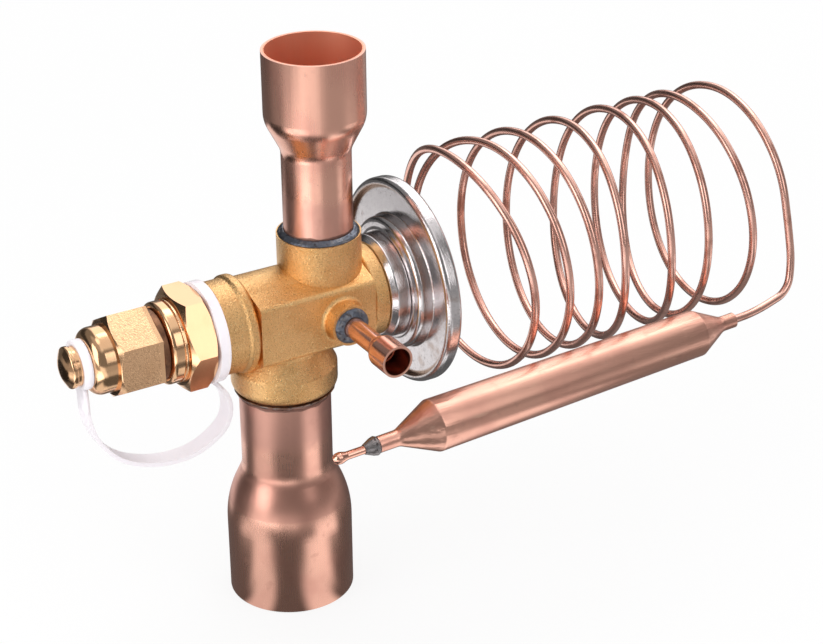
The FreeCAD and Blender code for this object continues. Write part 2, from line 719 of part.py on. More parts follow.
def superheat_spring():
    start = KEY_LEFT + S.spring_seat_setting + S.spring_seat_width + S.joint_gap
    body = new_body("superheat_spring", start)
    run = S.spring_length - S.spring_wire - 2 * S.joint_gap
    sketch = new_sketch(body, "XZ_Plane", "Wire")
    disc(sketch, S.spring_wire * HALF, (S.spring_od - S.spring_wire) * HALF, S.spring_wire)
    coil = body.newObject("PartDesign::AdditiveHelix", "Coil")
    coil.Profile = sketch
    coil.ReferenceAxis = (sketch, ["H_Axis"])
    coil.Mode = 0
    coil.setExpression("Pitch", (run / S.spring_turns).text)
    coil.setExpression("Height", run.text)
    doc.recompute()
    return body


def spring_carrier():
    body = new_body("spring_carrier", CARRIER_LEFT)
    guide = S.guide_bore * HALF - S.guide_gap
    head, hub = S.carrier_head_od * HALF, S.spring_hub_od * HALF
    shoulder = S.carrier_guide_length
    face = shoulder + S.carrier_head_length
    pocket = S.cone_stem_od * HALF + S.joint_gap
    depth = face - S.cone_stem_length - S.joint_gap
    turned(body, "Turning", [
        (-S.spring_hub_length, 0), (-S.spring_hub_length, hub), (0, hub), (0, guide - 0.4),
        (0.4, guide), (shoulder - 1.0, guide), (shoulder, head), (face, head), (face, pocket),
        (depth, pocket), (depth, 0)])
    return body


def carrier_face():
    """Returns the station of the carrier's front face."""
    return CARRIER_LEFT + S.carrier_guide_length + S.carrier_head_length


def valve_cone():
    body = new_body("valve_cone", carrier_face() + S.joint_gap)
    stem, head = S.cone_stem_od * HALF, S.cone_od * HALF
    tip, edge = S.cone_tip_od * HALF, S.orifice_bore * HALF
    touch = SEAT_LEFT - S.cone_gap - carrier_face() - S.joint_gap
    turned(body, "Turning", [
        (-S.cone_stem_length, 0), (-S.cone_stem_length, stem), (0, stem), (0, head),
        (touch - (head - edge), head), (touch + (edge - tip), tip), (touch + (edge - tip), 0)])
    return body


def valve_seat():
    body = new_body("valve_seat", SEAT_LEFT)
    edge, outer = S.orifice_bore * HALF, S.seat_bore * HALF - S.joint_gap
    thick = S.seat_thickness - S.joint_gap
    turned(body, "Turning", [
        (0, edge), (0, outer), (thick, outer), (thick, edge + 1.2), (thick - 2.0, edge)])
    return body


def push_rod_set():
    tip = SEAT_LEFT - S.cone_gap + (S.orifice_bore - S.cone_tip_od) * HALF + S.joint_gap
    rod = new_body("push_rod", tip)
    plate_left = diaphragm_centre() - S.joint_gap - S.plate_thickness
    length = plate_left + S.plate_thickness * HALF - tip
    radius = S.rod_diameter * HALF
    turned(rod, "Turning", [
        (0, 0), (0, radius - 0.2), (0.2, radius), (length - 0.2, radius),
        (length, radius - 0.2), (length, 0)])
    plate = new_body("buffer_plate", plate_left)
    outer, dimple = S.plate_diameter * HALF, S.rod_diameter * HALF + S.joint_gap
    turned(plate, "Turning", [
        (0, dimple), (0, outer - 0.5), (0.5, outer), (S.plate_thickness, outer, 0.6),
        (S.plate_thickness, 0), (S.plate_thickness * HALF + S.joint_gap, 0),
        (S.plate_thickness * HALF + S.joint_gap, dimple)])
    seal = new_body("rod_seal", SEAL_LEFT + S.joint_gap + S.seal_cord * HALF)
    ring(seal, (S.seal_pocket_bore * HALF + S.rod_diameter * HALF) * HALF, S.seal_cord)
    left = SEAL_LEFT + 2 * S.joint_gap + S.seal_cord
    keeper = tubular("seal_retainer", left, SPIGOT_RIGHT - left,
                     S.rod_diameter + 2 * S.guide_gap, S.seal_pocket_bore - 2 * S.joint_gap)
    return [rod, plate, seal, keeper]


def diaphragm_centre():
    """Returns the station of the diaphragm's pressed-in middle."""
    return DIAPHRAGM_LEFT - S.diaphragm_dish


# Seal cap: hexagon, rounded shoulder, neck for the tether and domed knob
def seal_cap():
    body = new_body("seal_cap", NOSE_RIGHT - S.cap_gasket_width)
    bore = S.nose_od * HALF + S.cap_thread_gap
    shoulder, neck = S.cap_shoulder_od * HALF, S.cap_neck_od * HALF
    knob, hexagon_left = S.cap_knob_od * HALF, -S.cap_hex_length
    shoulder_left = hexagon_left - S.cap_shoulder_length
    neck_left = shoulder_left - S.cap_neck_length
    tip = neck_left - S.cap_knob_length
    turned(body, "Turning", [
        (0, 0), (0, shoulder), (shoulder_left, shoulder, 2.6), (shoulder_left, neck),
        (neck_left, neck), (neck_left, knob, 0.3), (tip + S.cap_knob_dome, knob, 0.5),
        (tip, knob * HALF, 5.0), (tip, 0)])
    raised(body, "Hexagon", "YZ_Plane", hexagon(S.cap_hex_flats, True),
           S.cap_hex_length, None, "Pad", True)
    chamfer_ring(body, "Chamfer", hexagon_left, S.cap_hex_flats, 1)
    turned(body, "Bore", [
        (1.0, 0), (1.0, bore), (S.cap_bore_cone - S.cap_bore_depth, bore),
        (-S.cap_bore_depth, bore - S.cap_bore_cone), (-S.cap_bore_depth, 0)], kind="Groove")
    return body


def cap_gasket():
    return tubular("cap_gasket", NOSE_RIGHT - S.cap_gasket_width + S.joint_gap,
                   S.cap_gasket_width - 2 * S.joint_gap, S.nose_od + 2 * S.cap_thread_gap,
                   S.cap_gasket_od, 0.35)


def rounded_route(points, share=0.48):
    """Joins straight runs through the points by tangent arcs and prints the radii."""
    edges, start, radii = [], points[0], []
    for before, corner, after in zip(points, points[1:], points[2:]):
        inward, outward = corner - before, after - corner
        shorter = min(inward.Length, outward.Length)
        inward.normalize()
        outward.normalize()
        turn = inward.getAngle(outward)
        back = share * shorter
        radii.append(back / math.tan(turn / 2))
        first, last = corner - inward * back, corner + outward * back
        lift = (outward - inward).normalize()
        sagitta = radii[-1] * (1 / math.cos(turn / 2) - 1)
        middle = corner + lift * sagitta
        edges.append(Part.LineSegment(start, first).toShape())
        edges.append(Part.Arc(first, middle, last).toShape())
        start = last
    edges.append(Part.LineSegment(start, points[-1]).toShape())
    print(f"route radii {min(radii):.1f} to {max(radii):.1f} mm")
    return Part.Wire(edges)


def swept(label, wire, section):
    """Sweeps a section wire along a route and compares the volume with the length."""
    shape = wire.makePipeShell([section], True, False)
    feature = doc.addObject("Part::Feature", label.title().replace("_", ""))
    feature.Label = label
    feature.Shape = shape
    area = Part.Face(section).Area
    print(f"{label} {wire.Length:.0f} mm long, volume ratio {shape.Volume / (area * wire.Length):.4f}")
    return feature


# Tether: two rings joined by a flat strap that hangs in a loop under the cap
def cap_tether():
    axis = S.valve_axis_height.value
    big_left = (HEX_RIGHT + S.tether_gap).value
    small_right = (NOSE_RIGHT - S.cap_gasket_width - S.cap_hex_length
                   - S.cap_shoulder_length - S.tether_gap).value
    small_left = small_right - S.tether_small_width.value
    big = hoop(big_left, S.tether_ring_width, S.tether_ring_od,
               S.housing_neck_od + 2 * S.tether_gap)
    small = hoop(small_left, S.tether_small_width, S.tether_small_od,
                 S.cap_neck_od + 2 * S.tether_gap)
    small_foot = FreeCAD.Vector((small_left + small_right) / 2, 0,
                                -S.tether_small_od.value / 2 + 0.4)
    big_foot = FreeCAD.Vector(big_left + S.tether_ring_width.value / 2, 0,
                              -S.tether_ring_od.value / 2 + 0.6)
    hanging = [small_foot]
    span, drop = (big_foot - small_foot).x, S.strap_drop.value
    for along, share in ((0.01, 0.44), (0.2, 0.82), (0.54, 1.0), (0.88, 1.0), (1.15, 0.78),
                         (1.17, 0.48)):
        hanging.append(small_foot + FreeCAD.Vector(span * along, 0, -drop * share))
    hanging.append(big_foot)
    wide, thin = S.strap_width.value / 2, S.strap_thickness.value / 2
    corners = [FreeCAD.Vector(small_foot.x + x, y, small_foot.z)
               for x, y in ((-thin, -wide), (thin, -wide), (thin, wide), (-thin, wide))]
    section = Part.makePolygon(corners + corners[:1])
    route = rounded_route(hanging)
    strap = route.makePipeShell([section], True, False)
    feature = doc.addObject("Part::Feature", "CapTether")
    feature.Label = "cap_tether"
    feature.Shape = big.fuse([small, strap]).removeSplitter()
    feature.Placement.Base = FreeCAD.Vector(0, 0, axis)
    return feature


def hoop(left, width, outer, inner):
    """Returns a flat ring about the valve axis."""
    base, along = FreeCAD.Vector(left, 0, 0), FreeCAD.Vector(1, 0, 0)
    solid = Part.makeCylinder(outer.value / 2, width.value, base, along)
    return solid.cut(Part.makeCylinder(inner.value / 2, width.value, base, along))


# Power element: neck ring, two shells with the diaphragm between, and the gas port
def element_neck():
    body = new_body("element_neck", NECK_LEFT)
    outer, bore = S.neck_od * HALF, S.spigot_od * HALF + S.joint_gap
    length, step = S.neck_length, S.valley_depth
    land = bore + 1.4
    turned(body, "Turning", [
        (0, bore), (0, outer - 1.2, 0.4), (1.3, outer, 0.6), (length, outer, 0.4),
        (length, land), (length + step, land), (length + step, bore)])
    return body


def shell_hole():
    """Returns the radius of the lower shell's middle hole."""
    return S.spigot_od * HALF + 1.4 + 2 * S.joint_gap


def lower_shell():
    body = new_body("lower_shell", FLAT_LEFT)
    sheet, hole = S.sheet, shell_hole()
    valley = NECK_RIGHT + S.joint_gap - FLAT_LEFT
    inner, outer = S.bulge_inner_od * HALF, S.bulge_od * HALF
    edge = S.rim_od * HALF - sheet - S.shell_edge_gap
    crest = -S.bulge_rise
    soft, firm = 0.9, 0.4
    turned(body, "Sheet", [
        (valley, hole), (valley, inner, firm), (crest, inner + 0.6, soft),
        (crest, outer - 0.3, 1.3), (0, outer, firm), (0, edge), (sheet, edge),
        (sheet, outer - sheet, firm), (crest + sheet, outer - sheet - 0.2, 0.3),
        (crest + sheet, inner + sheet, 0.15), (valley + sheet, inner + sheet * HALF, firm),
        (valley + sheet, hole)])
    return body


def upper_shell():
    body = new_body("upper_shell", UPPER_LEFT)
    sheet, rim = S.sheet, S.rim_od * HALF
    lip = rim - S.rim_lip_width
    front = FLAT_LEFT - S.rim_lip_rise - UPPER_LEFT
    fold = FLAT_LEFT - S.joint_gap - UPPER_LEFT
    cup, port = S.cup_od * HALF, S.port_boss_od * HALF
    back, top = sheet, sheet + S.cup_rise
    hole = S.capillary_od * HALF + S.joint_gap
    tip = top + S.port_boss_rise
    turned(body, "Sheet", [
        (fold, lip), (front, lip + 0.1, 0.3), (front, rim, 1.2), (back, rim, 1.0),
        (back, cup, 0.8), (top, cup - 1.2, 1.2), (top, port, 0.5), (tip, port - 0.5, 0.4),
        (tip, hole), (top - sheet, hole), (top - sheet, cup - 1.2 - sheet, 0.4),
        (0, cup - sheet, 0.6), (0, rim - sheet), (fold, rim - sheet)])
    return body


def diaphragm():
    body = new_body("diaphragm", DIAPHRAGM_LEFT)
    thick, dish = S.diaphragm_thickness, S.diaphragm_dish
    edge = S.rim_od * HALF - S.sheet - S.shell_edge_gap
    bend = S.bulge_od * HALF - S.sheet - 0.6
    middle = S.plate_diameter * HALF
    turned(body, "Foil", [
        (-dish, 0), (-dish, middle), (0, bend), (0, edge), (thick, edge), (thick, bend),
        (thick - dish, middle), (thick - dish, 0)])
    return body


def capillary_braze_ring():
    body = new_body("capillary_braze_ring", PORT_RIGHT + S.joint_gap)
    inner = S.capillary_od * HALF + S.joint_gap
    turned(body, "Fillet", [
        (0, inner), (0, S.port_boss_od * HALF - 1.2), (0.5, inner + 0.7), (1.2, inner + 0.15),
        (1.2, inner)])
    return body


def stray(turn):
    """Returns how far the hand-wound coil strays from an even one, smoothly."""
    knots = [0.0, FIRST_STRAY, 0.0]
    for front, under, back in TURN_STRAYS:
        knots += [front, under, back, 0.0]
    place = 4 * turn + 2
    near = min(math.floor(place), len(knots) - 3)
    part = place - near
    before, first, last, after = knots[near - 1:near + 3]
    rise, fall = (last - before) / 2, (after - first) / 2
    return (first + rise * part + (3 * (last - first) - 2 * rise - fall) * part ** 2
            + (2 * (first - last) + rise + fall) * part ** 3)


def coil_point(turn):
    """Returns the capillary's centre at a count of turns from the first crest."""
    whole = max(0, min(math.floor(turn), len(TURN_PITCHES) - 1))
    along = sum(TURN_PITCHES[:whole]) + (turn - whole) * TURN_PITCHES[whole]
    angle = 2 * math.pi * turn
    radius = S.coil_radius.value
    return FreeCAD.Vector(
        S.coil_start.value + S.coil_pitch.value * along + stray(turn) * S.coil_stray.value,
        -radius * math.sin(angle), S.coil_rise.value + radius * math.cos(angle))


def capillary_tube():
    port = UPPER_RIGHT.value + S.cup_rise.value
    lead = FreeCAD.Vector(port + S.port_lead.value + S.port_boss_rise.value, 0, 0)
    first, reach = coil_point(COIL_FIRST_TURN), S.coil_radius.value
    points = [FreeCAD.Vector(port, 0, 0), lead,
              FreeCAD.Vector(lead.x + reach * 0.055, first.y * 0.45, -reach * 0.414),
              FreeCAD.Vector(first.x - reach * 0.021, first.y * 0.86, -reach * 0.483),
              FreeCAD.Vector(first.x + reach * 0.014, first.y, -reach * 0.207)]
    count = round((COIL_LAST_TURN - COIL_FIRST_TURN) * POINTS_PER_TURN)
    for k in range(count + 1):
        points.append(coil_point(COIL_FIRST_TURN + k / POINTS_PER_TURN))
    last, end, along = points[-1], bulb_point(bulb_sleeve_end()), bulb_direction()
    points.append(FreeCAD.Vector(last.x, last.y - reach * 0.066, end.z + reach * 0.352))
    points.append(FreeCAD.Vector(
        last.x - reach * 0.076, end.y + reach * 0.017, end.z + reach * 0.11))
    points.append(end + along * (reach * 0.228))
    points.append(end - along * (S.bulb_sleeve_length.value * 0.6))
    route = rounded_route(points)
    section = Part.Wire(Part.makeCircle(
        S.capillary_od.value / 2, points[0], FreeCAD.Vector(1, 0, 0)))
    feature = swept("capillary_tube", route, section)
    feature.Placement.Base = FreeCAD.Vector(0, 0, S.valve_axis_height.value)
    return feature


def bulb_direction():
    """Returns the bulb's axis, rising a little towards the capillary."""
    tilt = math.radians(S.bulb_tilt.value)
    return FreeCAD.Vector(math.cos(tilt), 0, math.sin(tilt))


def bulb_point(along):
    """Returns a point on the bulb's axis, from the valve axis's height."""
    start = FreeCAD.Vector(S.bulb_start.value, -S.bulb_aside.value, -S.bulb_drop.value)
    return start + bulb_direction() * along


def bulb_sleeve_end():
    """Returns the distance along the bulb's axis to the end of its sleeve."""
    return (S.bulb_length + S.bulb_tail_length + S.bulb_sleeve_length).value


def tilt_with_bulb(body):
    body.setExpression("Placement.Base.x", S.bulb_start.text)
    body.setExpression("Placement.Base.y", (-S.bulb_aside).text)
    body.setExpression("Placement.Base.z", (S.valve_axis_height - S.bulb_drop).text)
    body.Placement.Rotation = FreeCAD.Rotation(FreeCAD.Vector(0, 1, 0), -S.bulb_tilt.value)
    return body


# Sensing bulb: one sealed copper body with a coned end and a pinched end
def sensing_bulb():
    body = tilt_with_bulb(new_body("sensing_bulb"))
    bulb, neck = S.bulb_od * HALF, S.bulb_neck_od * HALF
    far = S.bulb_far_od * HALF
    sleeve = S.bulb_sleeve_od * HALF
    cone, left = -S.bulb_cone_length, -(S.bulb_cone_length + S.bulb_neck_length)
    right = S.bulb_length
    tail = right + S.bulb_tail_length
    end = tail + S.bulb_sleeve_length
    hole, depth = S.capillary_od * HALF + S.joint_gap, S.bulb_sleeve_length * 0.7
    gap = S.charging_tube_od * HALF + S.joint_gap
    turned(body, "Turning", [
        (left, gap), (left, neck), (cone, neck, 3.0), (0, bulb, 1.2), (right, far, 0.8),
        (tail, sleeve, 3.0), (end, sleeve), (end, hole), (end - depth, hole),
        (end - depth, 0), (left + 3.0, 0), (left + 3.0, gap)])
    pinch, width = 2.3, S.bulb_od
    for side, sign in (("Front", 1), ("Back", -1)):
        raised(body, f"{side}Pinch", "XY_Plane", lambda sketch: outline(sketch, [
            (right + 1.2, sign * width), (right + 1.2, sign * (far - 0.5), 1.0),
            (tail - 1.0, sign * pinch, 6.0), (tail, sign * (pinch + 0.6)),
            (tail, sign * width)]), S.bulb_od, -S.bulb_od * HALF, "Pocket", True)
    return body


def bulb_braze_ring():
    body = tilt_with_bulb(new_body("bulb_braze_ring"))
    right = -(S.bulb_cone_length + S.bulb_neck_length) - S.joint_gap
    inner, outer = S.charging_tube_od * HALF + S.joint_gap, S.bulb_neck_od * HALF
    left = right - S.bulb_braze_length
    turned(body, "Fillet", [
        (right, inner), (right, outer), (right - 0.6, outer + 0.35, 0.3),
        (right - 1.6, outer + 0.1, 0.5), (left, inner + 0.15), (left, inner)])
    return body


def charging_tube():
    body = tilt_with_bulb(new_body("charging_tube"))
    tube, bead = S.charging_tube_od * HALF, S.charging_bead_od * HALF
    start = -(S.bulb_cone_length + S.bulb_neck_length)
    reach = start - S.bulb_braze_length - S.charging_tube_length
    end = reach - S.charging_bead_length
    turned(body, "Turning", [
        (start + 2.9, 0), (start + 2.9, tube), (reach, tube, 1.5),
        (reach - 1.6, bead, 1.6), (end + 0.8, bead - 0.1, 1.0), (end, 0.45), (end, 0)])
    return body


def build():
    """Builds every piece and returns them in a list."""
    pieces = [valve_body(), inlet_tube(), outlet_tube(), equaliser_tube()]
    pieces += braze_rings()
    pieces += [adjusting_housing(), housing_o_ring(), adjusting_stem()]
    pieces += stem_seals()
    pieces += [spring_seat(), superheat_spring(), spring_carrier(), valve_cone(), valve_seat()]
    pieces += push_rod_set()
    pieces += [seal_cap(), cap_gasket(), cap_tether(), element_neck(), lower_shell(),
               upper_shell(), diaphragm(), capillary_braze_ring(), capillary_tube(),
               sensing_bulb(), bulb_braze_ring(), charging_tube()]
    return pieces


PIECES = build()
doc.recompute()
for item in doc.Objects:
    if "Invalid" in item.State or "Error" in item.State:
        raise RuntimeError(f"{item.Label} did not compute: {item.State}")
for piece in PIECES:
    if piece.Shape.isNull() or not piece.Shape.isValid() or not piece.Shape.Solids:
        raise RuntimeError(f"{piece.Label} has no valid solid")
os.makedirs("parts", exist_ok=True)
for piece in PIECES:
    piece.Shape.exportStep(f"parts/{piece.Label}.step")
    print(f"{piece.Label}: {piece.Shape.Volume:.0f} mm3, {len(piece.Shape.Solids)} solid")
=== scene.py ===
"""Looks of a thermostatic expansion valve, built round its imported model.

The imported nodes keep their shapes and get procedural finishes. The three lumpy braze fillets, and
the cap's strap and the spring, which stretch in use, are modelled here in their nodes' place.
Lengths are in metres unless a name or a docstring says millimetres.
"""

import logging
import math
from dataclasses import dataclass, field
from enum import Enum
from typing import Any, Mapping, Union

import bpy
from mathutils import Matrix, Vector


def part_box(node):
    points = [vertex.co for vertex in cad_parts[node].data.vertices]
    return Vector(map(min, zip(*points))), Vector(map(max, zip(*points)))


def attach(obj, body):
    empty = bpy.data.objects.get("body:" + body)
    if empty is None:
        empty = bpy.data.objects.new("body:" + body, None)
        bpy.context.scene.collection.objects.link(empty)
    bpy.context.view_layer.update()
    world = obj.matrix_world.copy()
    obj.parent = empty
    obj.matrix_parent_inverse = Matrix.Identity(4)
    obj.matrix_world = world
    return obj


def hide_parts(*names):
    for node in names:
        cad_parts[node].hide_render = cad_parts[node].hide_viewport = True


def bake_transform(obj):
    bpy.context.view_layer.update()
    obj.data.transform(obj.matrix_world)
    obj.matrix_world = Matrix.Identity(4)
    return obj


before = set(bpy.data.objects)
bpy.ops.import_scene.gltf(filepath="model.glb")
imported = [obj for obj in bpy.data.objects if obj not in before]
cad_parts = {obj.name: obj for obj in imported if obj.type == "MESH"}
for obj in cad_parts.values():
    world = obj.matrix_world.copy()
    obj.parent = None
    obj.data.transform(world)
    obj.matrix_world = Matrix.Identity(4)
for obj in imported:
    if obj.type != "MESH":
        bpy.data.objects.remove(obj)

LOG = logging.getLogger("valve")
MM = 0.001
DEGREES = 180.0 / math.pi
WHITE = (1.0, 1.0, 1.0, 1.0)
PALE = (0.8, 0.8, 0.8, 1.0)

# Socket numbers of a Mix node that mixes colours
MIX_SHARE = 0
MIX_FIRST = 6
MIX_SECOND = 7
MIX_RESULT = 2

Colour = tuple[float, float, float]
Extent = tuple[float, float, float]
Reach = tuple[float, float]


class Axis(Enum):
    """The frame's three directions."""

    X = 0
    Y = 1
    Z = 2


class Signal:
    """One shader socket that takes part in Python arithmetic."""

    def __init__(self, graph: "ShaderGraph", socket: bpy.types.NodeSocket) -> None:
        """Args: graph: the tree that holds the socket. socket: an output socket."""
        self.graph = graph
        self.socket = socket

    def _maths(self, operation: str, *values: "Number") -> "Signal":
        """Returns: the result of one Math node on the values."""
        return self.graph.node(
            "ShaderNodeMath", {"operation": operation}, dict(enumerate(values))
        )

    def __add__(self, other: "Number") -> "Signal":
        """Returns: the sum."""
        return self._maths("ADD", self, other)

    __radd__ = __add__

    def __sub__(self, other: "Number") -> "Signal":
        """Returns: the difference."""
        return self._maths("SUBTRACT", self, other)

    def __rsub__(self, other: "Number") -> "Signal":
        """Returns: the difference from a plain number."""
        return self._maths("SUBTRACT", other, self)

    def __mul__(self, other: "Number") -> "Signal":
        """Returns: the product."""
        return self._maths("MULTIPLY", self, other)

    __rmul__ = __mul__

    def __truediv__(self, other: "Number") -> "Signal":
        """Returns: the quotient."""
        return self._maths("DIVIDE", self, other)

    def __rtruediv__(self, other: "Number") -> "Signal":
        """Returns: a plain number divided by the signal."""
        return self._maths("DIVIDE", other, self)

    def __gt__(self, other: "Number") -> "Signal":
        """Returns: 1 where the signal is the larger, else 0."""
        return self._maths("GREATER_THAN", self, other)

    def __lt__(self, other: "Number") -> "Signal":
        """Returns: 1 where the signal is the smaller, else 0."""
        return self._maths("LESS_THAN", self, other)

    def __abs__(self) -> "Signal":
        """Returns: the size without its sign."""
        return self._maths("ABSOLUTE", self)

    def at_least(self, other: "Number") -> "Signal":
        """Returns: the larger of the two."""
        return self._maths("MAXIMUM", self, other)

    def fraction(self) -> "Signal":
        """Returns: what stands after the decimal point."""
        return self._maths("FRACT", self)

    def root(self) -> "Signal":
        """Returns: the square root."""
        return self._maths("SQRT", self)

    def angle_from(self, ahead: "Signal") -> "Signal":
        """Returns: the angle in radians whose sine side is the signal and cosine side ahead."""
        return self._maths("ARCTAN2", self, ahead)

    def arcsine(self) -> "Signal":
        """Returns: the angle in radians."""
        return self._maths("ARCSINE", self)


Number = Union[Signal, float]


def opaque(colour: Union[Signal, Colour]) -> Any:
    """Returns: the colour as a shader's socket takes it."""
    return colour if isinstance(colour, Signal) else (*colour, 1.0)


class ShaderGraph:
    """The node tree of a material or of the world, made one node at a time."""

    def __init__(self, tree: bpy.types.NodeTree) -> None:
        """Args: tree: the tree, which is emptied."""
        self.tree = tree
        tree.nodes.clear()

    def node(
        self,
        kind: str,
        settings: Mapping[str, Any] | None = None,
        inputs: Mapping[Union[str, int], Any] | None = None,
        output: Union[str, int] = 0,
    ) -> Signal:
        """Adds a node.

        Args:
            kind: the node's type.
            settings: its own settings, set first.
            inputs: values or signals for its sockets, by name or number.
            output: the output to use.

        Returns:
            The output as a signal.
        """
        made = self.tree.nodes.new(kind)
        for key, value in (settings or {}).items():
            setattr(made, key, value)
        for key, value in (inputs or {}).items():
            if isinstance(value, Signal):
                self.tree.links.new(value.socket, made.inputs[key])
            else:
                made.inputs[key].default_value = value
        return Signal(self, made.outputs[output] if made.outputs else None)

    def place(self) -> Signal:
        """Returns: the point's place in the object's frame, in metres."""
        return self.node("ShaderNodeTexCoord", output="Object")

    def split(self, vector: Signal) -> tuple[Signal, Signal, Signal]:
        """Returns: the vector's three parts."""
        made = self.node("ShaderNodeSeparateXYZ", inputs={0: vector})
        outputs = made.socket.node.outputs
        return tuple(Signal(self, socket) for socket in outputs)

    def noise(
        self, place: Signal, size: Union[float, Extent], detail: float, seed: float
    ) -> Signal:
        """Makes soft noise.

        Args:
            place: the point.
            size: how large its lumps are, alike all ways or along X, Y and Z.
            detail: how many finer layers it has.
            seed: picks another pattern.

        Returns:
            A level from 0 to 1.
        """
        sizes = (size, size, size) if isinstance(size, float) else size
        scaled = self.node(
            "ShaderNodeMapping",
            inputs={"Vector": place, "Scale": tuple(1.0 / s for s in sizes)},
        )
        return self.node(
            "ShaderNodeTexNoise",
            {"noise_dimensions": "4D"},
            {"Vector": scaled, "W": seed, "Scale": 1.0, "Detail": detail},
        )

    def ease(self, value: Number, low: float, high: float) -> Signal:
        """Returns: 0 below low, 1 above high, and a smooth step between them."""
        return self.node(
            "ShaderNodeMapRange",
            {"interpolation_type": "SMOOTHSTEP"},
            {"Value": value, "From Min": low, "From Max": high},
        )

    def blend(
        self, share: Number, first: Union[Signal, Colour], second: Union[Signal, Colour]
    ) -> Signal:
        """Returns: a colour between the first and the second."""
        return self.node(
            "ShaderNodeMix",
            {"data_type": "RGBA"},
            {MIX_SHARE: share, MIX_FIRST: opaque(first), MIX_SECOND: opaque(second)},
            output=MIX_RESULT,
        )


@dataclass
class Surface:
    """What a finish's layers change in turn; height is in millimetres."""

    graph: ShaderGraph
    place: Signal
    colour: Union[Signal, Colour]
    roughness: Number
    height: Number = 0.0


@dataclass(frozen=True, kw_only=True)
class Mark:
    """A layer of a finish: where it lies, and what it does to colour, gloss and height."""

    colour: Colour | None = None
    strength: float = 1.0
    roughness: float = 0.0
    rise: float = 0.0
    within: "Mark | None" = None

    def mask(self, surface: Surface) -> Signal:
        """Returns: how much of the layer lies at a point."""
        raise NotImplementedError

    def lay(self, surface: Surface) -> None:
        """Args: surface: the surface that the layer is laid on."""
        cover = self.mask(surface)
        if self.within:
            cover = cover * self.within.mask(surface)
        if self.colour:
            share = cover * self.strength
            surface.colour = surface.graph.blend(share, surface.colour, self.colour)
        if self.roughness:
            surface.roughness = surface.roughness + cover * self.roughness
        if self.rise:
            surface.height = surface.height + cover * self.rise


@dataclass(frozen=True, kw_only=True)
class Blotches(Mark):
    """Patches with soft, uneven borders: tarnish, stains, specks or scuffs."""

    size: Union[float, Extent]
    reach: Reach
    detail: float = 3.0
    seed: float = 0.0

    def mask(self, surface: Surface) -> Signal:
        """Returns: 1 inside a patch."""
        level = surface.graph.noise(surface.place, self.size, self.detail, self.seed)
        return surface.graph.ease(level, *self.reach)


@dataclass(frozen=True, kw_only=True)
class Specks(Blotches):
    """Small dull spots."""

    strength: float = 0.6
    roughness: float = 0.2
    detail: float = 1.0


@dataclass(frozen=True, kw_only=True)
class Grain(Mark):
    """Fine unevenness, from blasting, drawing or turning; size is along X, Y and Z."""

    size: Union[float, Extent]
    detail: float = 2.0
    seed: float = 0.0

    def mask(self, surface: Surface) -> Signal:
        """Returns: a level about 0."""
        level = surface.graph.noise(surface.place, self.size, self.detail, self.seed)
        return level * 2.0 - 1.0


@dataclass(frozen=True, kw_only=True)
class Band(Mark):
    """A stretch between two stations along an axis, with ends that fade and wander."""

    axis: Axis
    start: float
    end: float
    fade: float = 1.0 * MM
    wander: float = 0.0
    seed: float = 0.0

    def mask(self, surface: Surface) -> Signal:
        """Returns: 1 within the band."""
        graph = surface.graph
        along = graph.split(surface.place)[self.axis.value]
        if self.wander:
            stray = graph.noise(surface.place, 3.0 * MM, detail=3.0, seed=self.seed) - 0.5
            along = along + stray * (2.0 * self.wander)
        begun = graph.ease(along, self.start - self.fade, self.start)
        ended = graph.ease(along, self.end, self.end + self.fade)
        return begun * (1.0 - ended)


@dataclass(frozen=True, kw_only=True)
class AboutX(Mark):
    """A mark about the line through centre along X, between two stations on it."""

    centre: Vector
    stations: Reach

    def outline(self, along: Signal, across: Signal, above: Signal) -> Signal:
        """Returns: the layer's share at a point, which lies across and above the line."""
        raise NotImplementedError

    def mask(self, surface: Surface) -> Signal:
        """Returns: the outline, cut off at the stations."""
        x, y, z = surface.graph.split(surface.place)
        start, end = self.stations
        outline = self.outline(x, y - self.centre.y, z - self.centre.z)
        return outline * (x > start) * (x < end)


@dataclass(frozen=True, kw_only=True)
class Hoop(AboutX):
    """A ring of a given radius; core is the share of its width that it covers in full."""

    radius: float
    width: float
    core: float = 0.3

    def outline(self, along: Signal, across: Signal, above: Signal) -> Signal:
        """Returns: 1 at the radius, fading over the width."""
        off = abs((across * across + above * above).root() - self.radius)
        return 1.0 - off.graph.ease(off, self.core * self.width, self.width)


@dataclass(frozen=True, kw_only=True)
class Inside(Mark):
    """The inside of a tube: all that lies nearer than radius to the line through centre."""

    axis: Axis
    centre: Vector
    radius: float

    def mask(self, surface: Surface) -> Signal:
        """Returns: 1 inside the tube."""
        parts = list(zip(surface.graph.split(surface.place), self.centre))
        del parts[self.axis.value]
        first, second = (part - middle for part, middle in parts)
        return (first * first + second * second).root() < self.radius


@dataclass(frozen=True, kw_only=True)
class Flats(AboutX):
    """The three pairs of flats of a hexagon."""

    apothem: float
    allowance: float = 0.06 * MM

    def outline(self, along: Signal, across: Signal, above: Signal) -> Signal:
        """Returns: 1 on the flats, 0 on what was turned round."""
        furthest: Number = 0.0
        for pair in range(3):
            angle = pair * math.pi / 3.0
            reach = abs(across * math.cos(angle) + above * math.sin(angle))
            furthest = reach.at_least(furthest)
        return furthest > (self.apothem - self.allowance)


@dataclass(frozen=True, kw_only=True)
class Thread(AboutX):
    """A fine V thread."""

    pitch: float

    def outline(self, along: Signal, across: Signal, above: Signal) -> Signal:
        """Returns: 1 on a crest and 0 in a root."""
        turns = above.angle_from(across) * (0.5 / math.pi)
        progress = (along / self.pitch + turns).fraction()
        return abs(progress - 0.5) * 2.0


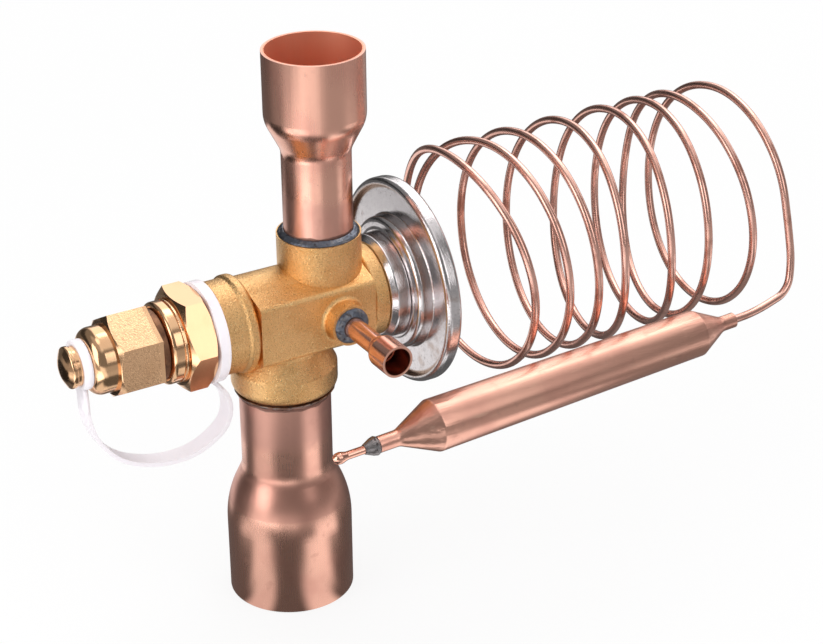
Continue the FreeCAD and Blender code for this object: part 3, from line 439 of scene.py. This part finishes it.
@dataclass(frozen=True, kw_only=True)
class Finish:
    """A surface finish: one shader under layers of marks.

    The constants are set on the shader's own sockets.
    """

    name: str
    colour: Colour
    roughness: float
    metallic: float = 1.0
    marks: tuple[Mark, ...] = ()
    constants: Mapping[str, Any] = field(default_factory=dict)

    def paint(self) -> bpy.types.Material:
        """Returns: the finish as a new material."""
        material = bpy.data.materials.new(self.name)
        material.use_nodes = True
        graph = ShaderGraph(material.node_tree)
        surface = Surface(graph, graph.place(), self.colour, self.roughness)
        for mark in self.marks:
            mark.lay(surface)
        inputs: dict[Union[str, int], Any] = {
            "Base Color": opaque(surface.colour),
            "Roughness": surface.roughness,
            "Metallic": self.metallic,
            **self.constants,
        }
        if isinstance(surface.height, Signal):
            inputs["Normal"] = graph.node(
                "ShaderNodeBump",
                inputs={"Height": surface.height, "Strength": 1.0, "Distance": MM},
            )
        shader = graph.node("ShaderNodeBsdfPrincipled", inputs=inputs)
        graph.node("ShaderNodeOutputMaterial", inputs={"Surface": shader})
        return material


def turned_brass(name: str, *marks: Mark) -> Finish:
    """Returns: brass turned on a lathe about the X axis and polished."""
    return Finish(
        name=name,
        colour=(0.95, 0.58, 0.33),
        roughness=0.16,
        marks=(
            Blotches(colour=(0.84, 0.47, 0.25), strength=0.4, size=8.0 * MM, reach=(0.45, 0.7)),
            Grain(size=(0.15 * MM, 20.0 * MM, 20.0 * MM), rise=0.0015, roughness=0.05),
            Specks(
                colour=(0.34, 0.17, 0.09), strength=0.5,
                size=0.7 * MM, reach=(0.76, 0.82), seed=3.0,
            ),
            *marks,
        ),
    )


def drawn_copper(name: str, gloss: float, grain: Extent, *marks: Mark) -> Finish:
    """Makes the satin finish of a drawn copper tube.

    Args:
        name: the finish's name.
        gloss: the roughness between the marks.
        grain: the drawing streaks' size along X, Y and Z.
        marks: the layers of this tube alone.

    Returns:
        The finish.
    """
    return Finish(
        name=name,
        colour=(0.92, 0.50, 0.38),
        roughness=gloss,
        marks=(
            Blotches(
                colour=(0.70, 0.33, 0.26), strength=0.6, roughness=0.05,
                size=13.0 * MM, reach=(0.42, 0.72),
            ),
            Grain(size=grain, rise=0.004, roughness=0.05),
            Blotches(
                colour=(0.60, 0.30, 0.23), strength=0.35, roughness=0.06,
                size=3.0 * MM, reach=(0.56, 0.76), detail=2.0, seed=2.0,
            ),
            Specks(colour=(0.28, 0.14, 0.10), size=0.8 * MM, reach=(0.78, 0.84), seed=7.0),
            *marks,
        ),
    )


def soot(axis: Axis, start: float, end: float, seed: float) -> Band:
    """Returns: the ragged dark line that brazing leaves, between two stations on an axis."""
    return Band(
        colour=(0.20, 0.12, 0.10), strength=0.7, roughness=0.25,
        axis=axis, start=start, end=end, fade=0.3 * MM, wander=0.7 * MM, seed=seed,
    )


def heat_tint(axis: Axis, start: float, end: float, seed: float) -> Band:
    """Returns: the duller, browner copper beside a braze, between two stations on an axis."""
    return Band(
        colour=(0.62, 0.32, 0.27), strength=0.45, roughness=0.08,
        axis=axis, start=start, end=end, fade=4.0 * MM, wander=2.0 * MM, seed=seed,
    )


def braze(name: str, tone: Colour = (0.17, 0.185, 0.225)) -> Finish:
    """Returns: cooled braze filler of the tone, oxidised in patches."""
    return Finish(
        name=name,
        colour=tone,
        roughness=0.36,
        marks=(
            Blotches(colour=(0.38, 0.37, 0.38), strength=0.8, size=1.6 * MM, reach=(0.5, 0.7)),
            Blotches(
                colour=(0.08, 0.06, 0.06), strength=0.8, roughness=0.2,
                size=1.0 * MM, reach=(0.55, 0.68), seed=4.0,
            ),
            Grain(size=0.5 * MM, rise=0.05, roughness=0.1, detail=3.0),
        ),
    )


def rubber() -> Finish:
    """Returns: matt black rubber."""
    return Finish(
        name="rubber",
        colour=(0.025, 0.025, 0.025),
        roughness=0.55,
        metallic=0.0,
        marks=(Grain(size=0.5 * MM, rise=0.01, roughness=0.08),),
    )


class Workshop:
    """Modelling helpers that all sub-assemblies use."""

    MERGE_DISTANCE = 0.002 * MM
    CUT_SLACK = 0.001 * MM
    FILLER_CUTS = 3
    LUMP_SIZE = 1.6 * MM
    LUMP_DEPTH = 0.3 * MM

    @staticmethod
    def clear_selection() -> None:
        """Deselects everything, so that an operator acts only on what is picked next."""
        bpy.ops.object.select_all(action="DESELECT")

    @classmethod
    def pick(cls, piece: bpy.types.Object) -> None:
        """Args: piece: the object that the next operators work on."""
        cls.clear_selection()
        piece.select_set(True)
        bpy.context.view_layer.objects.active = piece

    @classmethod
    def copy_of(cls, node: str, name: str) -> bpy.types.Object:
        """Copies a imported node's mesh into a piece of its own, with its loose triangles merged.

        Args:
            node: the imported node.
            name: the new piece's name.

        Returns:
            The new piece.
        """
        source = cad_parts[node]
        piece = bpy.data.objects.new(name, source.data.copy())
        bpy.context.scene.collection.objects.link(piece)
        cls.pick(piece)
        bpy.ops.object.mode_set(mode="EDIT")
        bpy.ops.mesh.select_all(action="SELECT")
        bpy.ops.mesh.remove_doubles(threshold=cls.MERGE_DISTANCE)
        bpy.ops.object.mode_set(mode="OBJECT")
        return piece

    @classmethod
    def roughen(cls, piece: bpy.types.Object) -> None:
        """Args: piece: a mesh whose skin is pushed in and out in soft lumps."""
        cloud = bpy.data.textures.new(piece.name + "_lumps", "CLOUDS")
        cloud.noise_scale = cls.LUMP_SIZE
        cloud.noise_depth = 2
        cls.pick(piece)
        lumps = piece.modifiers.new("lumps", "DISPLACE")
        lumps.texture = cloud
        lumps.texture_coords = "LOCAL"
        lumps.strength = cls.LUMP_DEPTH
        lumps.mid_level = 0.5
        bpy.ops.object.modifier_apply(modifier=lumps.name)

    @classmethod
    def lumpy(cls, node: str, name: str) -> None:
        """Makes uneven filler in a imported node's place.

        Args:
            node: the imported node.
            name: the new piece's name.
        """
        piece = cls.copy_of(node, name)
        bpy.ops.object.mode_set(mode="EDIT")
        bpy.ops.mesh.select_all(action="SELECT")
        bpy.ops.mesh.subdivide(number_cuts=cls.FILLER_CUTS)
        bpy.ops.object.mode_set(mode="OBJECT")
        cls.roughen(piece)
        cls.smooth(piece, angle=60.0)
        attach(piece, "valve")
        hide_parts(node)

    @classmethod
    def stretchy(
        cls, node: str, name: str, slot: str, bodies: tuple[str, str], ends: Reach
    ) -> None:
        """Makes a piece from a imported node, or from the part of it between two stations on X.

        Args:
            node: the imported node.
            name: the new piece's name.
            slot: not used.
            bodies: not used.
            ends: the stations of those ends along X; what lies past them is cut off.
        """
        piece = cls.copy_of(node, name)
        cls.trim(piece, min(ends), max(ends))
        cls.smooth(piece, angle=50.0)
        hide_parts(node)
        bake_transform(piece)

    @classmethod
    def trim(cls, piece: bpy.types.Object, low: float, high: float) -> None:
        """Args: piece: a mesh to cut to what lies between the stations low and high on X."""
        cuts = {"clear_inner": low - cls.CUT_SLACK, "clear_outer": high + cls.CUT_SLACK}
        cls.pick(piece)
        bpy.ops.object.mode_set(mode="EDIT")
        for side, station in cuts.items():
            bpy.ops.mesh.select_all(action="SELECT")
            bpy.ops.mesh.bisect(
                plane_co=(station, 0, 0), plane_no=(1, 0, 0), use_fill=True, **{side: True}
            )
        bpy.ops.object.mode_set(mode="OBJECT")

    @classmethod
    def smooth(cls, piece: bpy.types.Object, angle: float) -> None:
        """Args: piece: the piece to shade. angle: edges sharper than this stay sharp."""
        cls.pick(piece)
        bpy.ops.object.shade_smooth_by_angle(angle=math.radians(angle))


@dataclass
class SubAssembly:
    """A group of pieces that are looked at together."""

    def finishes(self) -> dict[str, Finish]:
        """Returns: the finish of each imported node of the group."""
        return {}

    def pieces(self) -> dict[str, Finish]:
        """Builds the group's new pieces. Returns: their finishes by name."""
        return {}

    def dress(self) -> None:
        """Builds the new pieces, and gives every piece and node its finish."""
        worn = {**self.finishes(), **self.pieces()}
        painted: dict[str, bpy.types.Material] = {}
        for name, finish in worn.items():
            if finish.name not in painted:
                painted[finish.name] = finish.paint()
            piece = bpy.data.objects[name]
            piece.data.materials.clear()
            piece.data.materials.append(painted[finish.name])
            LOG.info("%s: %s", name, finish.name)


@dataclass
class ForgedBody(SubAssembly):
    """The hot-forged brass body; streaked is how far dark streaks reach up its lower boss."""

    streaked: float = 9.0 * MM

    def finishes(self) -> dict[str, Finish]:
        """Returns: the blasted finish of the forging."""
        low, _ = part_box("valve_body")
        blasted = Finish(
            name="blasted_forging",
            colour=(1.0, 0.60, 0.26),
            roughness=0.31,
            marks=(
                Blotches(
                    colour=(0.82, 0.44, 0.16), strength=0.6, size=8.0 * MM, reach=(0.42, 0.7),
                ),
                Grain(size=0.34 * MM, rise=0.11, roughness=0.12, detail=3.0),
                Grain(size=2.5 * MM, rise=0.05, seed=5.0),
                # Painted glints: paler, glossier specks that stand in for the sparkle of the
                # blasted surface.
                Blotches(
                    colour=(1.0, 0.80, 0.42), strength=0.6, roughness=-0.08,
                    size=0.4 * MM, reach=(0.56, 0.70), detail=2.0, seed=14.0,
                ),
                Blotches(
                    colour=(0.58, 0.29, 0.11), strength=0.55,
                    size=0.45 * MM, reach=(0.52, 0.70), detail=2.0, seed=9.0,
                ),
                Specks(colour=(0.30, 0.14, 0.07), size=0.9 * MM, reach=(0.76, 0.83), seed=8.0),
                Blotches(
                    colour=(0.36, 0.18, 0.08), strength=0.6, rise=-0.05,
                    size=(0.5 * MM, 0.5 * MM, 5.0 * MM), reach=(0.73, 0.79),
                    detail=1.0, seed=11.0,
                    within=Band(axis=Axis.Z, start=low.z, end=low.z + self.streaked),
                ),
            ),
        )
        return {"valve_body": blasted}


@dataclass
class TubeStubs(SubAssembly):
    """The three copper stubs and the braze that holds them.

    The sockets' depths, and how far heat and soot reach, are lengths along the stubs.
    """

    streak: float = 0.25 * MM
    streak_length: float = 30.0 * MM
    swage_tone: Colour = (0.66, 0.31, 0.25)
    outlet_swage: Reach = (25.5 * MM, 33.5 * MM)
    lip: float = 0.5 * MM
    inlet_gloss: float = 0.24
    inlet_socket: float = 16.0 * MM
    inlet_heat: float = 14.0 * MM
    inlet_soot: float = 7.4 * MM
    outlet_gloss: float = 0.27
    outlet_heat: float = 16.0 * MM
    outlet_soot: float = 7.6 * MM
    equaliser_gloss: float = 0.2
    equaliser_socket: float = 6.0 * MM
    equaliser_soot: float = 6.3 * MM

    def finishes(self) -> dict[str, Finish]:
        """Returns: the finishes of the stubs."""
        upright = (self.streak, self.streak, self.streak_length)
        lying = (self.streak, self.streak_length, self.streak)
        foot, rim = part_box("inlet_tube")
        _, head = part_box("outlet_tube")
        tip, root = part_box("equaliser_tube")
        # Painted light: the inside of the inlet's socket is coloured brighter and redder than the
        # tube, standing in for the light that falls into it.
        glow = Inside(
            colour=(1.0, 0.50, 0.34), roughness=0.35,
            axis=Axis.Z, centre=(foot + rim) / 2, radius=(rim.x - foot.x) / 2 - self.lip,
            within=Band(axis=Axis.Z, start=rim.z - self.inlet_socket, end=rim.z),
        )
        # Painted shade: the equaliser's bore is coloured dark brown, standing in for the shade
        # inside it.
        painted_bore_shade = Inside(
            colour=(0.30, 0.10, 0.06), strength=0.9, roughness=0.1,
            axis=Axis.Y, centre=(tip + root) / 2, radius=(root.x - tip.x) / 2 - self.lip,
            within=Band(axis=Axis.Y, start=tip.y, end=tip.y + self.equaliser_socket),
        )
        low, high = self.outlet_swage
        swage = Band(
            colour=self.swage_tone, strength=0.4, roughness=0.04,
            axis=Axis.Z, start=low, end=high, fade=0.8 * MM, wander=0.3 * MM,
        )
        return {
            "inlet_tube": drawn_copper(
                "inlet_copper", self.inlet_gloss, upright, glow,
                heat_tint(Axis.Z, foot.z, foot.z + self.inlet_heat, seed=1.0),
                soot(Axis.Z, foot.z, foot.z + self.inlet_soot, seed=2.0),
            ),
            "outlet_tube": drawn_copper(
                "outlet_copper", self.outlet_gloss, upright, swage,
                heat_tint(Axis.Z, head.z - self.outlet_heat, head.z, seed=3.0),
                soot(Axis.Z, head.z - self.outlet_soot, head.z, seed=4.0),
            ),
            "equaliser_tube": drawn_copper(
                "equaliser_copper", self.equaliser_gloss, lying, painted_bore_shade,
                soot(Axis.Y, root.y - self.equaliser_soot, root.y, seed=5.0),
            ),
        }

    def pieces(self) -> dict[str, Finish]:
        """Builds the lumpy rings of filler. Returns: their finishes by name."""
        fillers = {
            "inlet": braze("inlet_braze"),
            # Painted light: the outlet's filler sits in shade under the boss, so it gets a lighter
            # and browner tone than the others to make up for that shade.
            "outlet": braze("outlet_braze", (0.42, 0.28, 0.22)),
            "equaliser": braze("equaliser_braze"),
        }
        for stub in fillers:
            Workshop.lumpy(f"{stub}_braze_ring", f"{stub}_filler")
        return {f"{stub}_filler": finish for stub, finish in fillers.items()}


@dataclass
class AdjustingEnd(SubAssembly):
    """The adjusting housing, its stem and packing, the seal cap and the cap's strap.

    The cap's flats lie between its turned nose and its rim. The housing's thread begins at
    thread_lead behind the housing's nose.
    """

    thread_pitch: float = 1.0 * MM
    thread_lead: float = 1.5 * MM
    cap_nose: float = 9.0 * MM
    cap_rim: float = 1.0 * MM

    def _cap_flats(self) -> tuple[Mark, ...]:
        """Returns: the layers that give the cap's flats the grain of the drawn bar."""
        low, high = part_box("seal_cap")
        flats = Flats(
            centre=(low + high) / 2,
            apothem=(high.y - low.y) / 2,
            stations=(low.x + self.cap_nose, high.x - self.cap_rim),
        )
        return (
            Grain(size=0.35 * MM, rise=0.035, roughness=0.12, detail=3.0, within=flats),
            Blotches(
                colour=(0.55, 0.29, 0.15), strength=0.4, roughness=0.12,
                size=0.6 * MM, reach=(0.5, 0.7), seed=6.0, within=flats,
            ),
        )

    def finishes(self) -> dict[str, Finish]:
        """Returns: the finishes of the adjusting end."""
        low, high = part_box("seal_cap")
        nose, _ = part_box("adjusting_housing")
        thread = Thread(
            rise=0.35, centre=(low + high) / 2, pitch=self.thread_pitch,
            stations=(nose.x + self.thread_lead, high.x - self.cap_rim),
        )
        dull = Finish(
            name="gasket_copper",
            colour=(0.30, 0.15, 0.085),
            roughness=0.42,
            marks=(
                Blotches(
                    colour=(0.14, 0.07, 0.05), strength=0.7, size=2.0 * MM, reach=(0.4, 0.7),
                ),
                Grain(size=0.6 * MM, rise=0.02, roughness=0.1),
            ),
        )
        return {
            "adjusting_housing": turned_brass("housing_brass", thread),
            "seal_cap": turned_brass("cap_brass", *self._cap_flats()),
            "cap_gasket": dull,
            "adjusting_stem": turned_brass("stem_brass"),
            "packing_gland": turned_brass("gland_brass"),
            "spring_seat": turned_brass("seat_brass"),
            "stem_packing": Finish(
                name="packing",
                colour=(0.82, 0.80, 0.74),
                roughness=0.6,
                metallic=0.0,
                marks=(Grain(size=0.6 * MM, rise=0.04, roughness=0.1),),
            ),
            "housing_o_ring": rubber(),
        }

    def pieces(self) -> dict[str, Finish]:
        """Builds the strap, which stretches as the cap is drawn off. Returns: its finish."""
        low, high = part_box("cap_tether")
        Workshop.stretchy(
            "cap_tether", "cap_strap", "strap_plastic", ("valve", "gasket"), (high.x, low.x),
        )
        nylon = Finish(
            name="strap_nylon",
            colour=(0.90, 0.85, 0.90),
            roughness=0.32,
            metallic=0.0,
            marks=(
                Blotches(
                    colour=(0.88, 0.83, 0.87), strength=0.6, size=6.0 * MM, reach=(0.4, 0.7),
                ),
                Grain(size=1.5 * MM, rise=0.02, roughness=0.08),
            ),
            constants={
                "Subsurface Weight": 0.4,
                "Subsurface Scale": 1.5 * MM,
                "Subsurface Radius": (1.0, 1.0, 1.0),
            },
        )
        return {"cap_strap": nylon}


@dataclass
class PowerElement(SubAssembly):
    """The pressed-steel diaphragm case, with rust at the radius where its shells fold."""

    fold: float = 23.4 * MM
    rust_width: float = 0.9 * MM
    rust_depth: float = 20.0 * MM

    def finishes(self) -> dict[str, Finish]:
        """Returns: the finishes of the case and its neck."""
        low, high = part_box("upper_shell")
        rust = Hoop(
            colour=(0.42, 0.24, 0.13), strength=0.75, roughness=0.15,
            radius=self.fold, width=self.rust_width,
            centre=(low + high) / 2, stations=(low.x - self.rust_depth, high.x),
        )
        steel = Finish(
            name="pressed_steel",
            colour=(0.78, 0.73, 0.735),
            roughness=0.13,
            marks=(
                Blotches(
                    colour=(0.42, 0.28, 0.21), strength=0.55, size=6.0 * MM, reach=(0.56, 0.74),
                ),
                Grain(size=0.25 * MM, rise=0.018, roughness=0.14, detail=3.0),
                Blotches(
                    colour=(0.30, 0.28, 0.28), strength=0.5, roughness=0.15,
                    size=0.5 * MM, reach=(0.55, 0.72), detail=2.0, seed=9.0,
                ),
                Blotches(
                    colour=(0.14, 0.09, 0.08), strength=0.6, roughness=0.15,
                    size=1.8 * MM, reach=(0.70, 0.8), seed=6.0,
                ),
                rust,
            ),
        )
        return {
            "lower_shell": steel,
            "upper_shell": steel,
            "element_neck": steel,
            "diaphragm": steel,
            "buffer_plate": steel,
            "capillary_braze_ring": braze("element_braze"),
        }


@dataclass
class BulbAndCapillary(SubAssembly):
    """The sensing bulb, its charging stub and the coiled capillary.

    The drawing streaks' sizes are along X, Y and Z.
    """

    cone: float = 18.0 * MM
    bulb_gloss: float = 0.31
    bulb_streaks: Extent = (30.0 * MM, 0.25 * MM, 0.25 * MM)
    coil_gloss: float = 0.24
    coil_streaks: Extent = (1.5 * MM, 1.5 * MM, 1.5 * MM)
    charging_gloss: float = 0.2
    charging_streaks: Extent = (6.0 * MM, 0.3 * MM, 0.3 * MM)

    def finishes(self) -> dict[str, Finish]:
        """Returns: the finishes of the charged parts."""
        low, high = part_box("sensing_bulb")
        cones = tuple(
            Grain(
                size=(14.0 * MM, 1.6 * MM, 1.6 * MM), rise=0.10, roughness=0.05, seed=seed,
                within=Band(axis=Axis.X, start=start, end=start + self.cone),
            )
            for seed, start in ((1.0, low.x), (2.0, high.x - self.cone))
        )
        scuffs = Blotches(
            colour=(0.97, 0.62, 0.47), strength=0.5, roughness=0.06,
            size=(9.0 * MM, 1.5 * MM, 1.5 * MM), reach=(0.58, 0.75), detail=2.0, seed=12.0,
        )
        new = Blotches(
            colour=(1.0, 0.58, 0.48), strength=0.85,
            size=12.0 * MM, reach=(0.25, 0.5), seed=3.0,
        )
        age = Blotches(
            colour=(0.42, 0.17, 0.12), strength=0.65, roughness=0.1,
            size=6.0 * MM, reach=(0.52, 0.72), detail=2.0, seed=5.0,
        )
        return {
            "capillary_tube": drawn_copper(
                "capillary_copper", self.coil_gloss, self.coil_streaks, new, age,
            ),
            "sensing_bulb": drawn_copper(
                "bulb_copper", self.bulb_gloss, self.bulb_streaks, scuffs, *cones,
            ),
            "charging_tube": drawn_copper(
                "charging_copper", self.charging_gloss, self.charging_streaks,
            ),
            "bulb_braze_ring": braze("bulb_braze", (0.36, 0.33, 0.33)),
        }


@dataclass
class InnerWorks(SubAssembly):
    """What the closed valve hides: the cone, its seat, the spring and the rod."""

    def finishes(self) -> dict[str, Finish]:
        """Returns: the finishes of the inner works."""
        ground = Finish(
            name="ground_stainless",
            colour=(0.68, 0.67, 0.66),
            roughness=0.22,
            marks=(
                Grain(size=(0.1 * MM, 8.0 * MM, 8.0 * MM), rise=0.003, roughness=0.05),
                Blotches(
                    colour=(0.50, 0.48, 0.46), strength=0.5, size=5.0 * MM, reach=(0.5, 0.7),
                ),
            ),
        )
        return {
            "valve_cone": ground,
            "push_rod": ground,
            "valve_seat": ground,
            "spring_carrier": ground,
            "seal_retainer": turned_brass("retainer_brass"),
            "rod_seal": rubber(),
        }

    def pieces(self) -> dict[str, Finish]:
        """Builds the spring's two halves, cut at its middle: one on its seat's side and one on the
        cone carrier's side.

        Returns:
            The halves' finish by name.
        """
        low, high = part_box("superheat_spring")
        middle = (low.x + high.x) / 2
        halves = {
            "seat_side_spring": (("setting_seat", "valve"), (low.x, middle)),
            "cone_side_spring": (("valve", "closing_set"), (middle, high.x)),
        }
        for name, (bodies, ends) in halves.items():
            Workshop.stretchy("superheat_spring", name, "spring_steel", bodies, ends)
        wire = Finish(
            name="spring_wire",
            colour=(0.42, 0.42, 0.44),
            roughness=0.3,
            marks=(Grain(size=0.8 * MM, rise=0.01, roughness=0.1),),
        )
        return dict.fromkeys(halves, wire)


@dataclass(frozen=True)
class Card:
    """A sheet that only mirrored light shows.

    It reaches between two directions round the object, in degrees to the right of the
    camera, and between two distances on the floor or two heights in the sky.
    """

    turns: Reach
    others: Reach
    fades: Reach
    level: float

    def over(self, under: Number, turn: Signal, other: Signal) -> Signal:
        """Lays the card.

        Args:
            under: the brightness round the card.
            turn: a place's direction.
            other: its distance in metres, or its height in degrees.

        Returns:
            The brightness with the card over it.
        """
        graph = turn.graph
        cover: Number = 1.0
        sides = zip((turn, other), (self.turns, self.others), self.fades)
        for value, (low, high), fade in sides:
            cover = graph.ease(value, low - fade, low) * cover
            cover = cover * (1.0 - graph.ease(value, high, high + fade))
        return cover * self.level + (1.0 - cover) * under


@dataclass(frozen=True)
class Lamp:
    """A soft box; its brightness is what its face shows, where 1 is white."""

    name: str
    place: Vector
    size: Reach
    brightness: float

    def hang(self, aim: Vector) -> None:
        """Adds the lamp, which only the camera can't see. Args: aim: where it points."""
        width, height = self.size
        data = bpy.data.lights.new(self.name, "AREA")
        data.shape = "RECTANGLE"
        data.size, data.size_y = width, height
        data.energy = self.brightness * math.pi * width * height
        lamp = bpy.data.objects.new(self.name, data)
        bpy.context.scene.collection.objects.link(lamp)
        lamp.location = self.place
        lamp.rotation_euler = (self.place - aim).to_track_quat("Z", "Y").to_euler()
        lamp.visible_camera = False


@dataclass
class Studio:
    """The camera, the white surroundings, the cards that the metal mirrors, and the lamps.

    Metal mirrors dusk on the floor and sky_dusk above it, except where a card lies. Each card
    lies over those before it. The first three floor cards are the far floor, and the rest lie
    close round the object's foot. The floor cards' borders wander in lumps of the size ripple,
    by up to half of unrest in degrees and half of the share stretch in distance.
    The camera sees a white floor, but for shadow_share of its own shading, which fades out
    over white_reach.
    """

    eye: Vector = field(default_factory=lambda: Vector((-0.2080, -0.4126, 0.3079)))
    right: Vector = field(default_factory=lambda: Vector((0.8591, -0.5118, -0.0083)))
    up: Vector = field(default_factory=lambda: Vector((0.2397, 0.3880, 0.8899)))
    aim: Vector = field(default_factory=lambda: Vector((0.02, 0.0, 0.07)))
    lens_mm: float = 96.0
    near_clip: float = 10.0 * MM
    floor_side: float = 6.0
    floor_drop: float = 0.3 * MM
    shadow_share: float = 0.15
    white_reach: Reach = (0.2, 0.7)
    dusk: float = 0.12
    sky_dusk: float = 0.20
    ripple: float = 50.0 * MM
    unrest: float = 18.0
    stretch: float = 0.25
    floor_cards: tuple[Card, ...] = (
        Card((28.0, 150.0), (0.21, 6.0), (14.0, 0.03), 0.42),
        Card((-95.0, -40.0), (0.30, 6.0), (25.0, 0.03), 0.33),
        Card((-16.0, 4.0), (0.30, 6.0), (30.0, 0.02), 1.12),
        Card((12.0, 60.0), (0.12, 0.20), (10.0, 0.02), 0.5),
        Card((72.0, 120.0), (0.09, 0.20), (12.0, 0.02), 0.22),
        Card((-70.0, 12.0), (0.14, 0.275), (14.0, 0.02), 1.12),
        Card((-46.0, -24.0), (0.15, 0.275), (10.0, 0.02), 2.3),
        Card((-60.0, -20.0), (0.14, 0.195), (12.0, 0.02), 2.6),
        Card((78.0, 100.0), (0.22, 0.28), (12.0, 0.02), 1.1),
        Card((-76.0, -42.0), (0.055, 0.10), (20.0, 0.015), 0.85),
        Card((47.0, 76.0), (0.055, 0.125), (12.0, 0.015), 1.25),
        Card((-50.0, -34.0), (0.03, 0.05), (16.0, 0.012), 0.95),
        Card((-42.0, -26.0), (0.0, 0.028), (14.0, 0.012), 0.8),
        Card((34.0, 54.0), (0.03, 0.05), (16.0, 0.012), 1.15),
        Card((26.0, 44.0), (0.0, 0.028), (14.0, 0.012), 0.95),
        Card((-160.0, -124.0), (0.07, 0.22), (8.0, 0.02), 0.95),
        Card((-122.0, -79.0), (0.13, 0.26), (6.0, 0.02), 0.02),
    )
    sky_cards: tuple[Card, ...] = (
        Card((-150.0, -66.0), (-5.0, 18.0), (10.0, 8.0), 0.03),
        Card((114.0, 200.0), (18.0, 95.0), (12.0, 10.0), 1.4),
        Card((-200.0, -168.0), (18.0, 95.0), (12.0, 10.0), 1.4),
        Card((25.0, 200.0), (56.0, 95.0), (20.0, 10.0), 0.85),
        Card((-115.0, 10.0), (56.0, 95.0), (15.0, 10.0), 0.45),
        Card((-200.0, 200.0), (80.0, 95.0), (1.0, 5.0), 1.8),
    )
    lamps: tuple[Lamp, ...] = (
        Lamp("overhead_box", Vector((0.42, 0.26, 0.83)), (0.5, 0.4), 2.1),
        Lamp("left_box", Vector((-0.45, -0.06, 0.24)), (0.30, 0.4), 2.3),
        Lamp("right_box", Vector((0.10, -0.25, 0.205)), (0.11, 0.17), 1.5),
    )

    def build(self) -> None:
        """Makes the camera, the world, the floor and the lamps."""
        self._camera()
        self._world()
        self._floor()
        for lamp in self.lamps:
            lamp.hang(self.aim)

    @staticmethod
    def _level(direction: Vector) -> Vector:
        """Returns: the direction laid level, of length 1."""
        return Vector((direction.x, direction.y, 0.0)).normalized()

    def _facing(self, x: Signal, y: Signal) -> tuple[Signal, Signal]:
        """Returns: how far a level place lies towards the camera, and to its right."""
        toward = self._level(self.eye)
        beside = self._level(self.right)
        return x * toward.x + y * toward.y, x * beside.x + y * beside.y

    def _camera(self) -> None:
        """Sets the camera where the photograph was taken from."""
        back = self.right.cross(self.up)
        data = bpy.data.cameras.new("camera")
        data.lens = self.lens_mm
        data.clip_start = self.near_clip
        camera = bpy.data.objects.new("camera", data)
        bpy.context.scene.collection.objects.link(camera)
        turn = Matrix((self.right, self.up, back)).transposed().to_4x4()
        camera.matrix_world = Matrix.Translation(self.eye) @ turn
        bpy.context.scene.camera = camera

    def _world(self) -> None:
        """Makes the white surroundings, with the cards that metal mirrors."""
        world = bpy.data.worlds.new("studio")
        world.use_nodes = True
        bpy.context.scene.world = world
        graph = ShaderGraph(world.node_tree)
        x, y, z = graph.split(graph.node("ShaderNodeTexCoord", output="Generated"))
        ahead, aside = self._facing(x, y)
        height = z.arcsine() * DEGREES
        turn = aside.angle_from(ahead) * DEGREES
        mirrored: Number = self.sky_dusk
        for card in self.sky_cards:
            mirrored = card.over(mirrored, turn, height)
        glossy = graph.node("ShaderNodeLightPath", output="Is Glossy Ray")
        strength = (1.0 - glossy) + glossy * mirrored
        shown = {"Color": WHITE, "Strength": strength}
        shine = graph.node("ShaderNodeBackground", inputs=shown)
        graph.node("ShaderNodeOutputWorld", inputs={"Surface": shine})

    def _floor(self) -> None:
        """Lays the pale floor, which keeps a soft shadow and fades into the white."""
        Workshop.clear_selection()
        bpy.ops.mesh.primitive_plane_add(
            size=self.floor_side, location=(0.0, 0.0, -self.floor_drop)
        )
        floor = bpy.context.object
        floor.name = "floor"
        material = bpy.data.materials.new("pale_floor")
        material.use_nodes = True
        graph = ShaderGraph(material.node_tree)
        x, y, _ = graph.split(graph.place())
        distance = (x * x + y * y).root()
        matt = graph.node("ShaderNodeBsdfDiffuse", inputs={"Color": PALE})
        glow = graph.node("ShaderNodeEmission")
        seen = graph.node("ShaderNodeLightPath", output="Is Camera Ray")
        fade = graph.ease(distance, *self.white_reach)
        share = seen * ((1.0 - self.shadow_share) + fade * self.shadow_share)
        shown = graph.node("ShaderNodeMixShader", inputs={0: share, 1: matt, 2: glow})
        ahead, aside = self._facing(x, y)
        stray = graph.noise(graph.place(), self.ripple, detail=1.0, seed=2.0) - 0.5
        turn = aside.angle_from(ahead) * DEGREES + stray * self.unrest
        wavy = distance + stray * distance * self.stretch
        mirrored: Number = self.dusk
        for card in self.floor_cards:
            mirrored = card.over(mirrored, turn, wavy)
        sheen = graph.node("ShaderNodeEmission", inputs={"Strength": mirrored})
        glossy = graph.node("ShaderNodeLightPath", output="Is Glossy Ray")
        either = graph.node("ShaderNodeMixShader", inputs={0: glossy, 1: shown, 2: sheen})
        graph.node("ShaderNodeOutputMaterial", inputs={"Surface": either})
        floor.data.materials.append(material)


def main() -> None:
    """Builds the studio, then builds and dresses the sub-assemblies in order."""
    logging.basicConfig(level=logging.INFO, format="%(message)s")
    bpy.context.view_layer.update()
    Studio().build()
    groups = (
        ForgedBody(),
        TubeStubs(),
        AdjustingEnd(),
        PowerElement(),
        BulbAndCapillary(),
        InnerWorks(),
    )
    for group in groups:
        LOG.info("dressing %s", type(group).__name__)
        group.dress()
    bpy.context.scene.view_settings.view_transform = "Standard"


if __name__ == "__main__":
    main()
